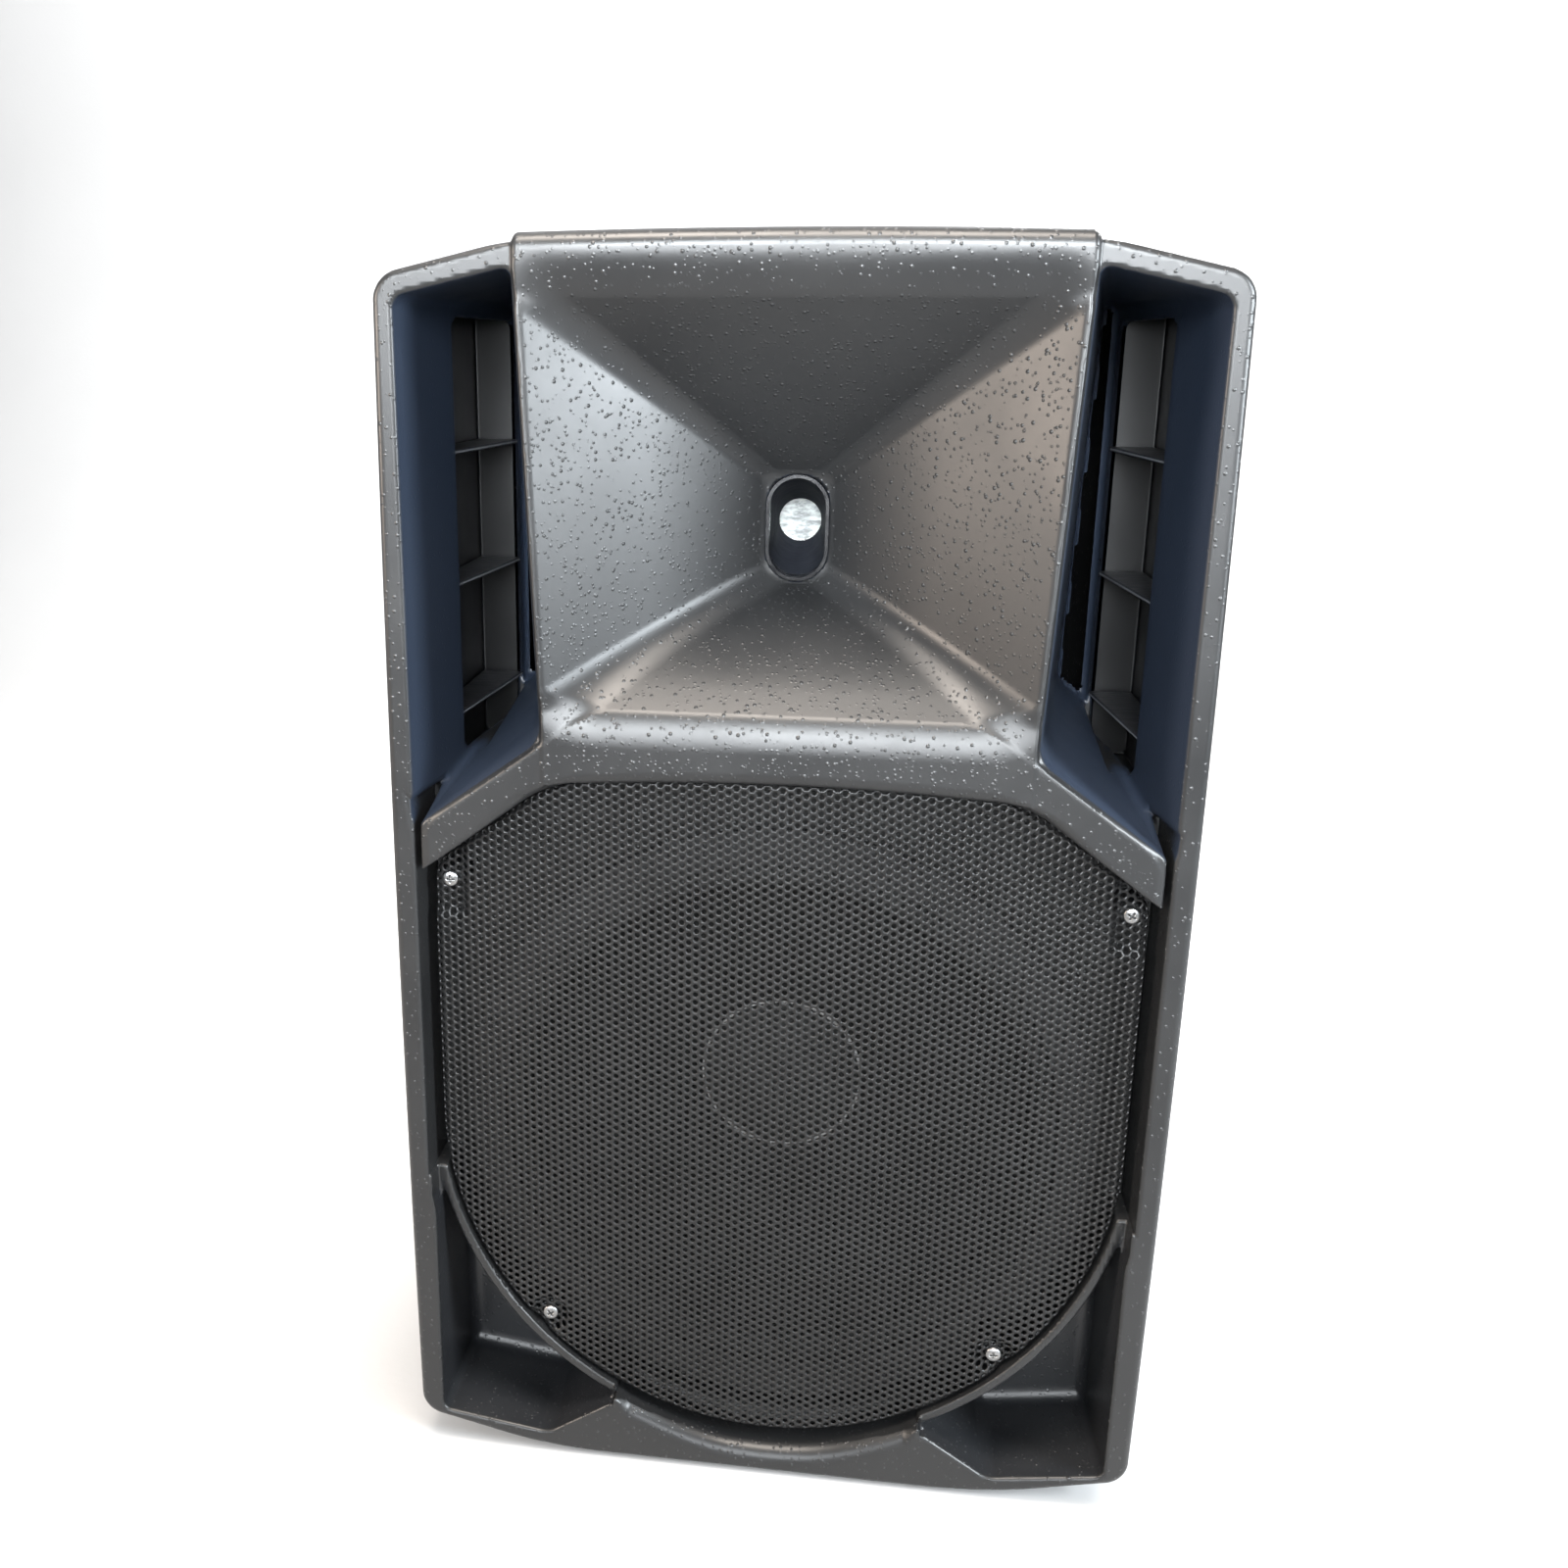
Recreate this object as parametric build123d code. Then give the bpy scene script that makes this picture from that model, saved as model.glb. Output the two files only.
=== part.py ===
from build123d import *
import os
from math import cos, pi, radians, sin, sqrt

# A 15 inch two-way active PA speaker cabinet in millimetres.
# While it is being built, y is the depth behind the front rim and z the height above the cabinet base.
# Export moves every piece so that the origin is at the centre of the footprint, under the rubber feet.

# Driving dimensions of the cabinet
WIDTH = 441.0
DEPTH = 390.0
BODY_HEIGHT = 726.0
HORN_BLOCK_HEIGHT = 731.0
FOOT_PROUD = 4.0
WALL = 5.0
SPLIT_DEPTH = 205.0
SEAL = 2.0
BACK_WIDTH = 300.0
BACK_TAPER = 0.72
CORNER_HEIGHT = 18.0
BASE_FLAT = 262.0
HORN_BLOCK_WIDTH = 286.0
HORN_BLOCK_DEPTH = 26.0

# Woofer, grille and baffle
WOOFER_Z = 217.5
WOOFER_HOLE_R = 178.0
WOOFER_FLANGE_R = 190.0
BASKET_SEAT = 128.0
COIL_R = 51.6
WOOFER_SCREW_CIRCLE_R = 184.0
WOOFER_SCREWS = 8
TERMINAL_Z = WOOFER_Z + 103.0
TERMINAL_END = 146.0
TERMINAL_X = 11.0
BAFFLE_DEPTH = 46.0
BAFFLE_THICK = 12.0
GRILLE_Z = 225.5
GRILLE_R = 201.7
GRILLE_GAP = 1.5
GRILLE_SHEET = 1.5
GRILLE_FRONT_DEPTH = 12.0
GRILLE_BEND_R = 2500.0
GRILLE_SHOULDER_Z = 384.5
GRILLE_TOP_Z = 438.5
GRILLE_ARCH = 5.5
GRILLE_TOP_HALF = 129.0
GRILLE_POST_R = 6.5
GRILLE_PILOT_R = 2.1
GRILLE_SCREW_POINTS = [(-192.0, 375.0), (192.0, 375.0), (-136.0, 89.5), (136.0, 89.5)]

# Horn, throat and compression driver
HORN_Z = 573.0
THROAT_DEPTH = 100.0
THROAT_WIDTH = 36.4
THROAT_HEIGHT = 61.4
HORN_FLANGE_END = 111.0
ADAPTOR_END = 145.0
DRIVER_EXIT_R = 12.7
DRIVER_BOLT_R = 38.0
DRIVER_FACE = 146.5
DRIVER_END = 204.0
DRIVER_TERMINAL_X = 9.0
DRIVER_TERMINAL_Z = HORN_Z - 56.0

# Port channels beside the horn
CHANNEL_OUTER_X = 208.0
CHANNEL_INNER_X = 143.5
CHANNEL_END = 200.0
PORT_LOW = 428.0
PORT_HIGH = 690.0
PORT_RIB_HEIGHTS = [459.8, 537.8, 614.8]
PORT_RIB_THICK = 2.6
POCKET_RING_R = 209.0
POCKET_DEPTH = 70.0
POCKET_SIDE_X = 204.0
POCKET_TIP_X = 93.0

# Rear amplifier module
PANEL_DEPTH = 372.0
PANEL_THICK = 3.0
PANEL_FACE = PANEL_DEPTH + PANEL_THICK
PANEL_LEDGE = 8.0
BOARD_DEPTH = 330.0
PANEL_HALF_WIDTH = 104.0
PANEL_LOW = 62.0
PANEL_HIGH = 398.0
CONTROL_ROW_Z = 150.0
SOCKET_ROW_Z = 200.0
MAINS_ROW_Z = 95.0
INPUT_XS = [-62.0, -14.0]
LINK_X = 34.0
INLET_X = -60.0
SWITCH_X = -8.0
ROCKER_TILT = 8.0
ROCKER_PIVOT_BACK = 6.0
BUTTON_X = 34.0
LED_X = 66.0
SOCKET_R = 12.0
JACK_R = 3.3
CONTACT_CIRCLE_R = 5.3
KNOB_R = 9.0

# Handles, stand socket, rigging points, feet and joint screws
TOP_HANDLE_DEPTH = 155.0
TOP_HANDLE_SIZE = (150.0, 62.0)
SIDE_HANDLE_Z = 356.0
SIDE_HANDLE_DEPTH = 140.0
SIDE_HANDLE_SIZE = (96.0, 84.0)
HANDLE_CUP = 45.0
HANDLE_FLANGE = 1.5
HANDLE_SUNK = 1.7
GRIP_R = 10.5
GRIP_SUNK = 13.0
POLE_R = 18.0
POLE_DEPTH = 155.0
POLE_TUBE = 95.0
POLE_FLANGE_R = 36.0
POLE_SCREW_CIRCLE_R = 29.5
RIGGING_R = 4.25
RIGGING_INSERT_R = 9.0
RIGGING_INSERT = 19.0
RIGGING_BORE = 16.0
RIGGING_XS = [-118.0, 118.0]
RIGGING_DEPTH = 150.0
RIGGING_BACK_Z = 560.0
FOOT_R = 16.0
FEET = [(-100.0, 45.0), (100.0, 45.0), (-72.0, 335.0), (72.0, 335.0)]
SHELL_SCREW_XS = [-92.0, -34.0, 34.0, 92.0]
SHELL_SCREW_LOW_Z = 14.0
SHELL_SCREW_HIGH_Z = 710.0
SHELL_BOSS_HALF = 9.0
SHELL_SCREW_SEAT = SPLIT_DEPTH + SEAL / 2 + 10.0


def box(x0, x1, y0, y1, z0, z1):
    centre = ((x0 + x1) / 2, (y0 + y1) / 2, (z0 + z1) / 2)
    return Pos(*centre) * Box(x1 - x0, y1 - y0, z1 - z0)


def rod_y(x, z, radius, y0, y1):
    return Pos(x, (y0 + y1) / 2, z) * Rot(90, 0, 0) * Cylinder(radius, y1 - y0)


def rod_z(x, y, radius, z0, z1):
    return Pos(x, y, (z0 + z1) / 2) * Cylinder(radius, z1 - z0)


def tube_y(x, z, outer, inner, y0, y1):
    return rod_y(x, z, outer, y0, y1) - rod_y(x, z, inner, y0 - 1, y1 + 1)


def front_plane(depth):
    """Drawing plane parallel to the front: its axes are x and height."""
    return Plane(origin=(0, depth, 0), x_dir=(1, 0, 0), z_dir=(0, -1, 0))


def polygon(points):
    return make_face(Polyline(*points, close=True))


def prism_y(face, y0, y1):
    return extrude(front_plane(y0) * face, amount=-(y1 - y0))


def prism_z(points, z0, z1):
    return extrude(Pos(0, 0, z0) * polygon(points), amount=z1 - z0)


def turned(profile, z):
    """Solid of revolution about the y axis at height z. The profile's points are (radius, depth)."""
    return Pos(0, 0, z) * revolve(polygon(profile), axis=Axis.Y)


def mirrored(shape):
    return mirror(shape, about=Plane.YZ)


def slot_face(width, height, z):
    return Pos(0, z) * RectangleRounded(width, height, min(width, height) / 2 - 0.05)


def grow(face, amount):
    return offset(face, amount, kind=Kind.INTERSECTION)


def save(node, *pieces):
    """Writes the pieces as one node, each its own solid, in the part's own frame."""
    move = Pos(0, -DEPTH / 2, FOOT_PROUD)
    solids = [move * solid for piece in pieces for solid in piece.solids()]
    shape = solids[0] if len(solids) == 1 else Compound(children=solids)
    export_step(shape, f"parts/{node}.step")


# Cabinet shells

def body_outline(half_width, base_half):
    """Front view of the cabinet: a tall box whose four corners are cut by shallow slopes."""
    shoulder = HORN_BLOCK_WIDTH / 2 * half_width / (WIDTH / 2)
    return polygon([
        (-base_half, 0), (base_half, 0), (half_width, CORNER_HEIGHT),
        (half_width, BODY_HEIGHT - CORNER_HEIGHT), (shoulder, BODY_HEIGHT),
        (-shoulder, BODY_HEIGHT), (-half_width, BODY_HEIGHT - CORNER_HEIGHT),
        (-half_width, CORNER_HEIGHT),
    ])


def front_outline():
    return body_outline(WIDTH / 2, BASE_FLAT / 2)


def horn_section(depth, top_half, low_half, low, high, radius):
    corners = [(-low_half, low), (low_half, low), (top_half, high), (-top_half, high)]
    face = polygon(corners)
    return front_plane(depth) * fillet(face.vertices(), radius)


def horn_flare(skin):
    """The horn's inside, thickened by skin: a wide mouth narrowing to the upright throat slot."""
    sections = [
        horn_section(-0.5, 141 + skin, 131 + skin, 478 - skin, 706 + skin, 8),
        horn_section(48, 82 + skin, 78 + skin, 516 - skin, 657 + skin, 20),
        horn_section(THROAT_DEPTH, THROAT_WIDTH / 2 + skin, THROAT_WIDTH / 2 + skin,
                     HORN_Z - THROAT_HEIGHT / 2 - skin, HORN_Z + THROAT_HEIGHT / 2 + skin, 17.5),
    ]
    return loft(sections, ruled=True)


def channel_volume(skin):
    """Deep V-shaped channel on the right of the horn, thickened by skin."""
    front = polygon([(CHANNEL_INNER_X, 453), (CHANNEL_OUTER_X, 404), (CHANNEL_OUTER_X, 698),
                     (CHANNEL_INNER_X, 713)])
    plan = [(CHANNEL_INNER_X, -1), (CHANNEL_OUTER_X, -1), (197.5, 75), (186, CHANNEL_END),
            (178, CHANNEL_END)]
    plan_face = grow(polygon(plan), skin) if skin else polygon(plan)
    front_face = grow(front, skin) if skin else front
    upright = extrude(Pos(0, 0, 380) * plan_face, amount=350)
    return prism_y(front_face, -1, CHANNEL_END + skin) & upright


def port_window():
    """Port opening in the channel's outer wall, divided by the horizontal ribs."""
    levels = [PORT_LOW] + PORT_RIB_HEIGHTS + [PORT_HIGH]
    cells = []
    for low, high in zip(levels, levels[1:]):
        gap = PORT_RIB_THICK / 2
        cells.append(box(184, 207, 82, 190, low + gap, high - gap))
    return cells


def grille_outline():
    """Rounded below, straight at the sides, with cut upper corners and a slightly arched top."""
    left = (-GRILLE_R, GRILLE_Z)
    right = (GRILLE_R, GRILLE_Z)
    top_left = (-GRILLE_TOP_HALF, GRILLE_TOP_Z)
    top_right = (GRILLE_TOP_HALF, GRILLE_TOP_Z)
    lower = ThreePointArc(left, (0, GRILLE_Z - GRILLE_R), right)
    right_side = Polyline(right, (GRILLE_R, GRILLE_SHOULDER_Z), top_right)
    top = ThreePointArc(top_right, (0, GRILLE_TOP_Z + GRILLE_ARCH), top_left)
    left_side = Polyline(top_left, (-GRILLE_R, GRILLE_SHOULDER_Z), left)
    return make_face([lower, right_side, top, left_side])


def corner_pocket(skin):
    """Triangular pocket in the lower right corner, outside the ring round the grille."""
    ring_r = POCKET_RING_R - skin
    top_angle = radians(-13)
    middle_angle = radians(-35)
    tip_x = POCKET_TIP_X - skin
    side_x = POCKET_SIDE_X + skin
    tip = (tip_x, GRILLE_Z - sqrt(ring_r ** 2 - tip_x ** 2))
    middle = (ring_r * cos(middle_angle), GRILLE_Z + ring_r * sin(middle_angle))
    top = (ring_r * cos(top_angle), GRILLE_Z + ring_r * sin(top_angle))
    sides = Polyline(top, (side_x, top[1]), (side_x, 20 - skin), (136, 9 - skin), tip)
    return prism_y(make_face([ThreePointArc(tip, middle, top), sides]), -1, POCKET_DEPTH + skin)


def shell_screw_places():
    heights = (SHELL_SCREW_LOW_Z, SHELL_SCREW_HIGH_Z)
    return [(x, z) for z in heights for x in SHELL_SCREW_XS]


def boss_block(x, z, y0, y1):
    """Screw boss that reaches from the base or the top of the shell."""
    half = SHELL_BOSS_HALF
    if z < BODY_HEIGHT / 2:
        return box(x - half, x + half, y0, y1, WALL - 1, z + half)
    return box(x - half, x + half, y0, y1, z - half, BODY_HEIGHT - WALL + 1)


def front_interior():
    """Air space inside the front shell, behind the baffle and round the horn."""
    inner = grow(front_outline(), -WALL)
    lower = prism_y(inner, BAFFLE_DEPTH + BAFFLE_THICK, SPLIT_DEPTH)
    upper = prism_y(inner, 10, BAFFLE_DEPTH + BAFFLE_THICK) & box(-230, 230, 0, 100, 484, 740)
    space = lower + upper
    space -= horn_flare(4.5)
    space -= box(-35, 35, THROAT_DEPTH - 6, HORN_FLANGE_END, HORN_Z - 48, HORN_Z + 48)
    for side in (channel_volume(4), mirrored(channel_volume(4))):
        space -= side
    for side in (corner_pocket(4), mirrored(corner_pocket(4))):
        space -= side
    return space


def front_shell():
    shell = prism_y(front_outline(), 0, SPLIT_DEPTH - SEAL / 2)
    lip = HORN_BLOCK_WIDTH / 2
    shell += box(-lip, lip, 0, HORN_BLOCK_DEPTH, BODY_HEIGHT - 10, HORN_BLOCK_HEIGHT)
    shell -= front_interior()
    shell -= horn_flare(0)
    shell -= prism_y(slot_face(THROAT_WIDTH, THROAT_HEIGHT, HORN_Z), THROAT_DEPTH - 1, 120)
    channel = channel_volume(0)
    pocket = corner_pocket(0)
    for cut in (channel, mirrored(channel), pocket, mirrored(pocket)):
        shell -= cut
    for cell in port_window():
        shell -= cell
        shell -= mirrored(cell)
    shell -= prism_y(grow(grille_outline(), GRILLE_GAP), -1, BAFFLE_DEPTH)
    shell -= rod_y(0, WOOFER_Z, WOOFER_HOLE_R, BAFFLE_DEPTH - 1, BAFFLE_DEPTH + BAFFLE_THICK + 1)
    for x, z in GRILLE_SCREW_POINTS:
        rear = grille_depth(abs(x) + GRILLE_POST_R) + GRILLE_SHEET + 0.1
        shell += rod_y(x, z, GRILLE_POST_R, rear, BAFFLE_DEPTH + 1)
        shell -= rod_y(x, z, GRILLE_PILOT_R, rear - 1, rear + 22)
    for x, z in woofer_screw_points():
        shell -= rod_y(x, z, 2.6, BAFFLE_DEPTH - 1, BAFFLE_DEPTH + BAFFLE_THICK + 1)
    for x, z in shell_screw_places():
        shell += boss_block(x, z, 184, SPLIT_DEPTH - SEAL / 2)
        shell -= rod_y(x, z, 2.5, 186, SPLIT_DEPTH)
    for x, z in adaptor_screw_points():
        shell -= rod_y(x, z, 1.7, THROAT_DEPTH + 1, HORN_FLANGE_END + 1)
    shell -= rod_z(0, POLE_DEPTH, POLE_FLANGE_R + 0.3, -1, 3)
    shell -= rod_z(0, POLE_DEPTH, POLE_R + 4.3, -1, WALL + 1)
    for x, y in pole_screw_points():
        shell -= rod_z(x, y, 1.8, -1, WALL + 1)
    side_cut = side_handle_place() * handle_cut(*SIDE_HANDLE_SIZE)
    for cut in (top_handle_place() * handle_cut(*TOP_HANDLE_SIZE), side_cut, mirrored(side_cut)):
        shell -= cut
    for x, y in FEET[:2]:
        shell -= rod_z(x, y, 2.3, -1, 30)
    for x in RIGGING_XS:
        shell -= rod_z(x, RIGGING_DEPTH, RIGGING_INSERT_R + 0.15, BODY_HEIGHT - 20, BODY_HEIGHT + 1)
    return shell


def rear_shell():
    """Tapered back half with a well for the amplifier panel and long wells for the joint screws."""
    start = SPLIT_DEPTH + SEAL / 2
    front = front_outline()
    back = body_outline(BACK_WIDTH / 2, BASE_FLAT / 2 * BACK_TAPER)
    shell = loft([front_plane(start) * front, front_plane(DEPTH) * back], ruled=True)
    space = loft([front_plane(start - 1) * grow(front, -WALL),
                  front_plane(DEPTH - WALL) * grow(back, -WALL)], ruled=True)
    ledge = PANEL_LEDGE
    space -= box(-PANEL_HALF_WIDTH - ledge, PANEL_HALF_WIDTH + ledge, PANEL_DEPTH - ledge + 1, DEPTH,
                 PANEL_LOW - ledge, PANEL_HIGH + ledge)
    for x, z in shell_screw_places():
        space -= rod_y(x, z, 8, start, DEPTH)
        space -= boss_block(x, z, start, start + 10)
    shell -= space
    shell -= box(-PANEL_HALF_WIDTH - 0.5, PANEL_HALF_WIDTH + 0.5, PANEL_DEPTH, DEPTH + 1,
                 PANEL_LOW - 0.5, PANEL_HIGH + 0.5)
    inset = ledge + 1
    shell -= box(-PANEL_HALF_WIDTH + inset, PANEL_HALF_WIDTH - inset, PANEL_DEPTH - ledge, PANEL_DEPTH + 1,
                 PANEL_LOW + inset, PANEL_HIGH - inset)
    for x, z in shell_screw_places():
        shell -= rod_y(x, z, 5.2, SHELL_SCREW_SEAT, DEPTH + 1)
        shell -= rod_y(x, z, 2.7, start - 1, SHELL_SCREW_SEAT + 1)
    for x, z in panel_screw_points():
        shell -= rod_y(x, z, 1.7, PANEL_DEPTH - ledge, PANEL_DEPTH + 1)
    for x, y in FEET[2:]:
        shell -= rod_z(x, y, 2.3, -1, 12)
    shell -= rod_y(0, RIGGING_BACK_Z, RIGGING_INSERT_R + 0.15, DEPTH - 20, DEPTH + 1)
    return shell


def shell_gasket():
    """Flat seal between the two shells."""
    outer = grow(front_outline(), -1)
    inner = grow(front_outline(), -WALL)
    return prism_y(outer - inner, SPLIT_DEPTH - SEAL / 2, SPLIT_DEPTH + SEAL / 2)


def screw_y(x, z, shank_r, head_r, tip, seat, head):
    """Screw along y, pointing to the front, with its pan head behind the seat."""
    return rod_y(x, z, shank_r, tip, seat + 0.5) + rod_y(x, z, head_r, seat, seat + head)


def shell_screws():
    return [screw_y(x, z, 2.4, 4.6, 188, SHELL_SCREW_SEAT, 3.5) for x, z in shell_screw_places()]


# Grille

def grille_depth(x):
    """Depth of the grille's front face: it is bent about an upright axis, nearest at the middle."""
    return GRILLE_FRONT_DEPTH + GRILLE_BEND_R - sqrt(GRILLE_BEND_R ** 2 - x ** 2)


def bent_sheet(front_depth, thickness):
    """Curved sheet that follows the grille, as tall as the cabinet."""
    centre_y = front_depth + GRILLE_BEND_R
    outer = Pos(0, centre_y, BODY_HEIGHT / 2) * Cylinder(GRILLE_BEND_R, BODY_HEIGHT)
    inner = Pos(0, centre_y, BODY_HEIGHT / 2) * Cylinder(GRILLE_BEND_R - thickness, BODY_HEIGHT + 2)
    return (outer - inner) & box(-220, 220, front_depth - 5, front_depth + 60, 0, BODY_HEIGHT)


def grille():
    sheet = bent_sheet(GRILLE_FRONT_DEPTH, GRILLE_SHEET) & prism_y(grille_outline(), -5, 60)
    for x, z in GRILLE_SCREW_POINTS:
        sheet -= rod_y(x, z, 2.3, -5, 60)
    return sheet


def grille_screws():
    screws = []
    for x, z in GRILLE_SCREW_POINTS:
        edge = max(grille_depth(abs(x) - 4.6), 0)
        front = edge - 2.4
        head = rod_y(x, z, 4.2, front, edge - 0.3)
        screws.append(head + rod_y(x, z, 1.9, front + 0.5, grille_depth(x) + 18))
    return screws


# Woofer

def woofer_screw_points():
    angles = [22.5 + 360 / WOOFER_SCREWS * turn for turn in range(WOOFER_SCREWS)]
    return [(WOOFER_SCREW_CIRCLE_R * cos(radians(a)), WOOFER_Z + WOOFER_SCREW_CIRCLE_R * sin(radians(a)))
            for a in angles]


def notched_ring(outer, inner, y0, y1):
    """Flat ring with screw holes and notches that clear the lower grille posts."""
    ring = tube_y(0, WOOFER_Z, outer, inner, y0, y1)
    for x, z in woofer_screw_points():
        ring -= rod_y(x, z, 2.8, y0 - 1, y1 + 1)
    for x, z in GRILLE_SCREW_POINTS[2:]:
        ring -= rod_y(x, z, 7.5, y0 - 1, y1 + 1)
    return ring


def woofer_gasket():
    return notched_ring(WOOFER_FLANGE_R - 0.5, WOOFER_HOLE_R, BAFFLE_DEPTH - 2, BAFFLE_DEPTH)


def woofer_basket():
    """Pressed steel frame: flange, ribbed cone with eight windows, and a seat for the magnet."""
    flange = notched_ring(WOOFER_FLANGE_R, 168, BAFFLE_DEPTH - 4, BAFFLE_DEPTH - 2)
    seat = BASKET_SEAT
    wall = turned([(176.5, 42), (176.5, 60), (98, seat - 4), (98, seat), (53, seat), (53, seat - 3),
                   (94.5, seat - 3), (94.5, seat - 5.5), (174, 58.5), (174, 42)], WOOFER_Z)
    for turn in range(WOOFER_SCREWS):
        window = box(112, 160, 60, 125, -26, 26)
        wall -= Pos(0, 0, WOOFER_Z) * Rot(0, 360 / WOOFER_SCREWS * turn, 0) * window
    return flange + wall


def woofer_surround():
    """Half-roll edge between the cone and the basket flange."""
    profile = [(151, 50.5), (154, 46.5), (158, 43.0), (162, 42.5), (165.5, 43.6), (168, 45.5), (173.6, 45.5),
               (173.6, 44.0), (167.9, 44.0), (165.9, 42.2), (162.3, 41.0), (157.5, 41.5), (153, 45.2),
               (150, 49.0)]
    return turned(profile, WOOFER_Z)


def woofer_cone():
    profile = [(149.6, 49.2), (150.6, 51.4), (149.0, 52.6), (52.0, 112.0), (52.0, 108.6), (100.0, 76.6)]
    return turned(profile, WOOFER_Z)


def woofer_dust_cap():
    """Domed cap over the voice coil, glued to the cone."""
    rim_r, rim_y, rise = 50.0, 108.0, 20.0
    curve_r = (rim_r ** 2 + rise ** 2) / (2 * rise)
    centre_y = rim_y - rise + curve_r
    ball = Pos(0, centre_y, WOOFER_Z) * Sphere(curve_r)
    ball -= Pos(0, centre_y, WOOFER_Z) * Sphere(curve_r - 1.2)
    return ball & rod_y(0, WOOFER_Z, rim_r + 1, rim_y - rise - 1, rim_y)


def woofer_voice_coil():
    return tube_y(0, WOOFER_Z, COIL_R, COIL_R - 1.2, 108.2, 146)


def woofer_spider():
    """Corrugated disc that centres the voice coil."""
    inner, outer, depth, thick, wave, pitch, rings = COIL_R + 0.6, 91.5, 118.0, 1.0, 2.0, 6.0, 6
    bends = [(inner + 4 + pitch * ring, wave if ring % 2 else -wave) for ring in range(rings)]
    front = [(inner, depth)] + [(radius, depth + rise) for radius, rise in bends] + [(outer, depth)]
    return turned(front + [(radius, y + thick) for radius, y in reversed(front)], WOOFER_Z)


def woofer_top_plate():
    return tube_y(0, WOOFER_Z, 84, 53, BASKET_SEAT, BASKET_SEAT + 9)


def woofer_magnet():
    return tube_y(0, WOOFER_Z, 95, 60, BASKET_SEAT + 9, BASKET_SEAT + 32)


def woofer_pole_piece():
    """Pole inside the voice coil, in one piece with the plate behind the magnet, and vented."""
    pole = tube_y(0, WOOFER_Z, 49, 12, BASKET_SEAT, BASKET_SEAT + 33)
    return pole + tube_y(0, WOOFER_Z, 84, 12, BASKET_SEAT + 32, BASKET_SEAT + 41)


def woofer_terminals():
    """Terminal board on the basket with two push posts."""
    board = box(-20, 20, BASKET_SEAT, BASKET_SEAT + 2.5, TERMINAL_Z - 18, TERMINAL_Z + 9)
    posts = [box(x - 4, x + 4, BASKET_SEAT + 2, TERMINAL_END, TERMINAL_Z - 5, TERMINAL_Z + 5)
             for x in (-TERMINAL_X, TERMINAL_X)]
    return board + posts


def woofer_screws():
    screws = []
    for x, z in woofer_screw_points():
        head = rod_y(x, z, 4.6, BAFFLE_DEPTH - 7, BAFFLE_DEPTH - 4)
        screws.append(head + rod_y(x, z, 2.4, BAFFLE_DEPTH - 5, BAFFLE_DEPTH + BAFFLE_THICK + 8))
    return screws


# Compression driver and throat

def adaptor_screw_points():
    return [(x, HORN_Z + z) for x in (-27, 27) for z in (-40, 40)]


def throat_ring():
    """Glossy lining of the throat slot."""
    outer = slot_face(THROAT_WIDTH - 0.2, THROAT_HEIGHT - 0.2, HORN_Z)
    inner = slot_face(THROAT_WIDTH - 4.0, THROAT_HEIGHT - 4.0, HORN_Z)
    return prism_y(outer, 98, HORN_FLANGE_END) - prism_y(inner, 97, HORN_FLANGE_END + 1)


def throat_adaptor():
    """Joins the upright slot to the round one inch exit of the driver."""
    block = prism_y(Pos(0, HORN_Z) * RectangleRounded(66, 94, 8), HORN_FLANGE_END, HORN_FLANGE_END + 4)
    block += prism_y(Pos(0, HORN_Z) * RectangleRounded(46, 72, 20), HORN_FLANGE_END, ADAPTOR_END)
    block += rod_y(0, HORN_Z, 46, ADAPTOR_END - 9, ADAPTOR_END)
    wide = front_plane(HORN_FLANGE_END - 0.01) * slot_face(THROAT_WIDTH - 4, THROAT_HEIGHT - 4, HORN_Z)
    narrow_face = Pos(0, HORN_Z) * RectangleRounded(
        2 * DRIVER_EXIT_R, 2 * DRIVER_EXIT_R + 0.2, DRIVER_EXIT_R - 0.05)
    block -= loft([wide, front_plane(ADAPTOR_END + 0.01) * narrow_face], ruled=True)
    for x, z in adaptor_screw_points():
        block -= rod_y(x, z, 2.0, HORN_FLANGE_END - 1, HORN_FLANGE_END + 5)
    for x in (-DRIVER_BOLT_R, DRIVER_BOLT_R):
        block -= rod_y(x, HORN_Z, 3.2, ADAPTOR_END - 10, ADAPTOR_END + 1)
    return block


def adaptor_screws():
    seat = HORN_FLANGE_END + 4
    return [screw_y(x, z, 1.6, 3.5, THROAT_DEPTH + 2, seat, 2.6) for x, z in adaptor_screw_points()]


def driver_gasket():
    ring = tube_y(0, HORN_Z, 44, DRIVER_EXIT_R + 1, ADAPTOR_END, ADAPTOR_END + 1.5)
    for x in (-DRIVER_BOLT_R, DRIVER_BOLT_R):
        ring -= rod_y(x, HORN_Z, 3.4, ADAPTOR_END - 1, ADAPTOR_END + 3)
    return ring


def driver_front_plate():
    plate = tube_y(0, HORN_Z, 55, DRIVER_EXIT_R, DRIVER_FACE, DRIVER_FACE + 7.5)
    for x in (-DRIVER_BOLT_R, DRIVER_BOLT_R):
        plate -= rod_y(x, HORN_Z, 3.0, DRIVER_FACE - 1, DRIVER_FACE + 8.5)
    return plate


def driver_screen():
    """Pale mesh disc that closes the driver exit."""
    return rod_y(0, HORN_Z, DRIVER_EXIT_R - 0.1, DRIVER_FACE + 0.5, DRIVER_FACE + 1.5)


def driver_magnet():
    return tube_y(0, HORN_Z, 55, 30, DRIVER_FACE + 7.5, DRIVER_FACE + 23.5)


def driver_pole_piece():
    return tube_y(0, HORN_Z, 23.5, DRIVER_EXIT_R, DRIVER_FACE + 7.5, DRIVER_FACE + 29.5)


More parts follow.
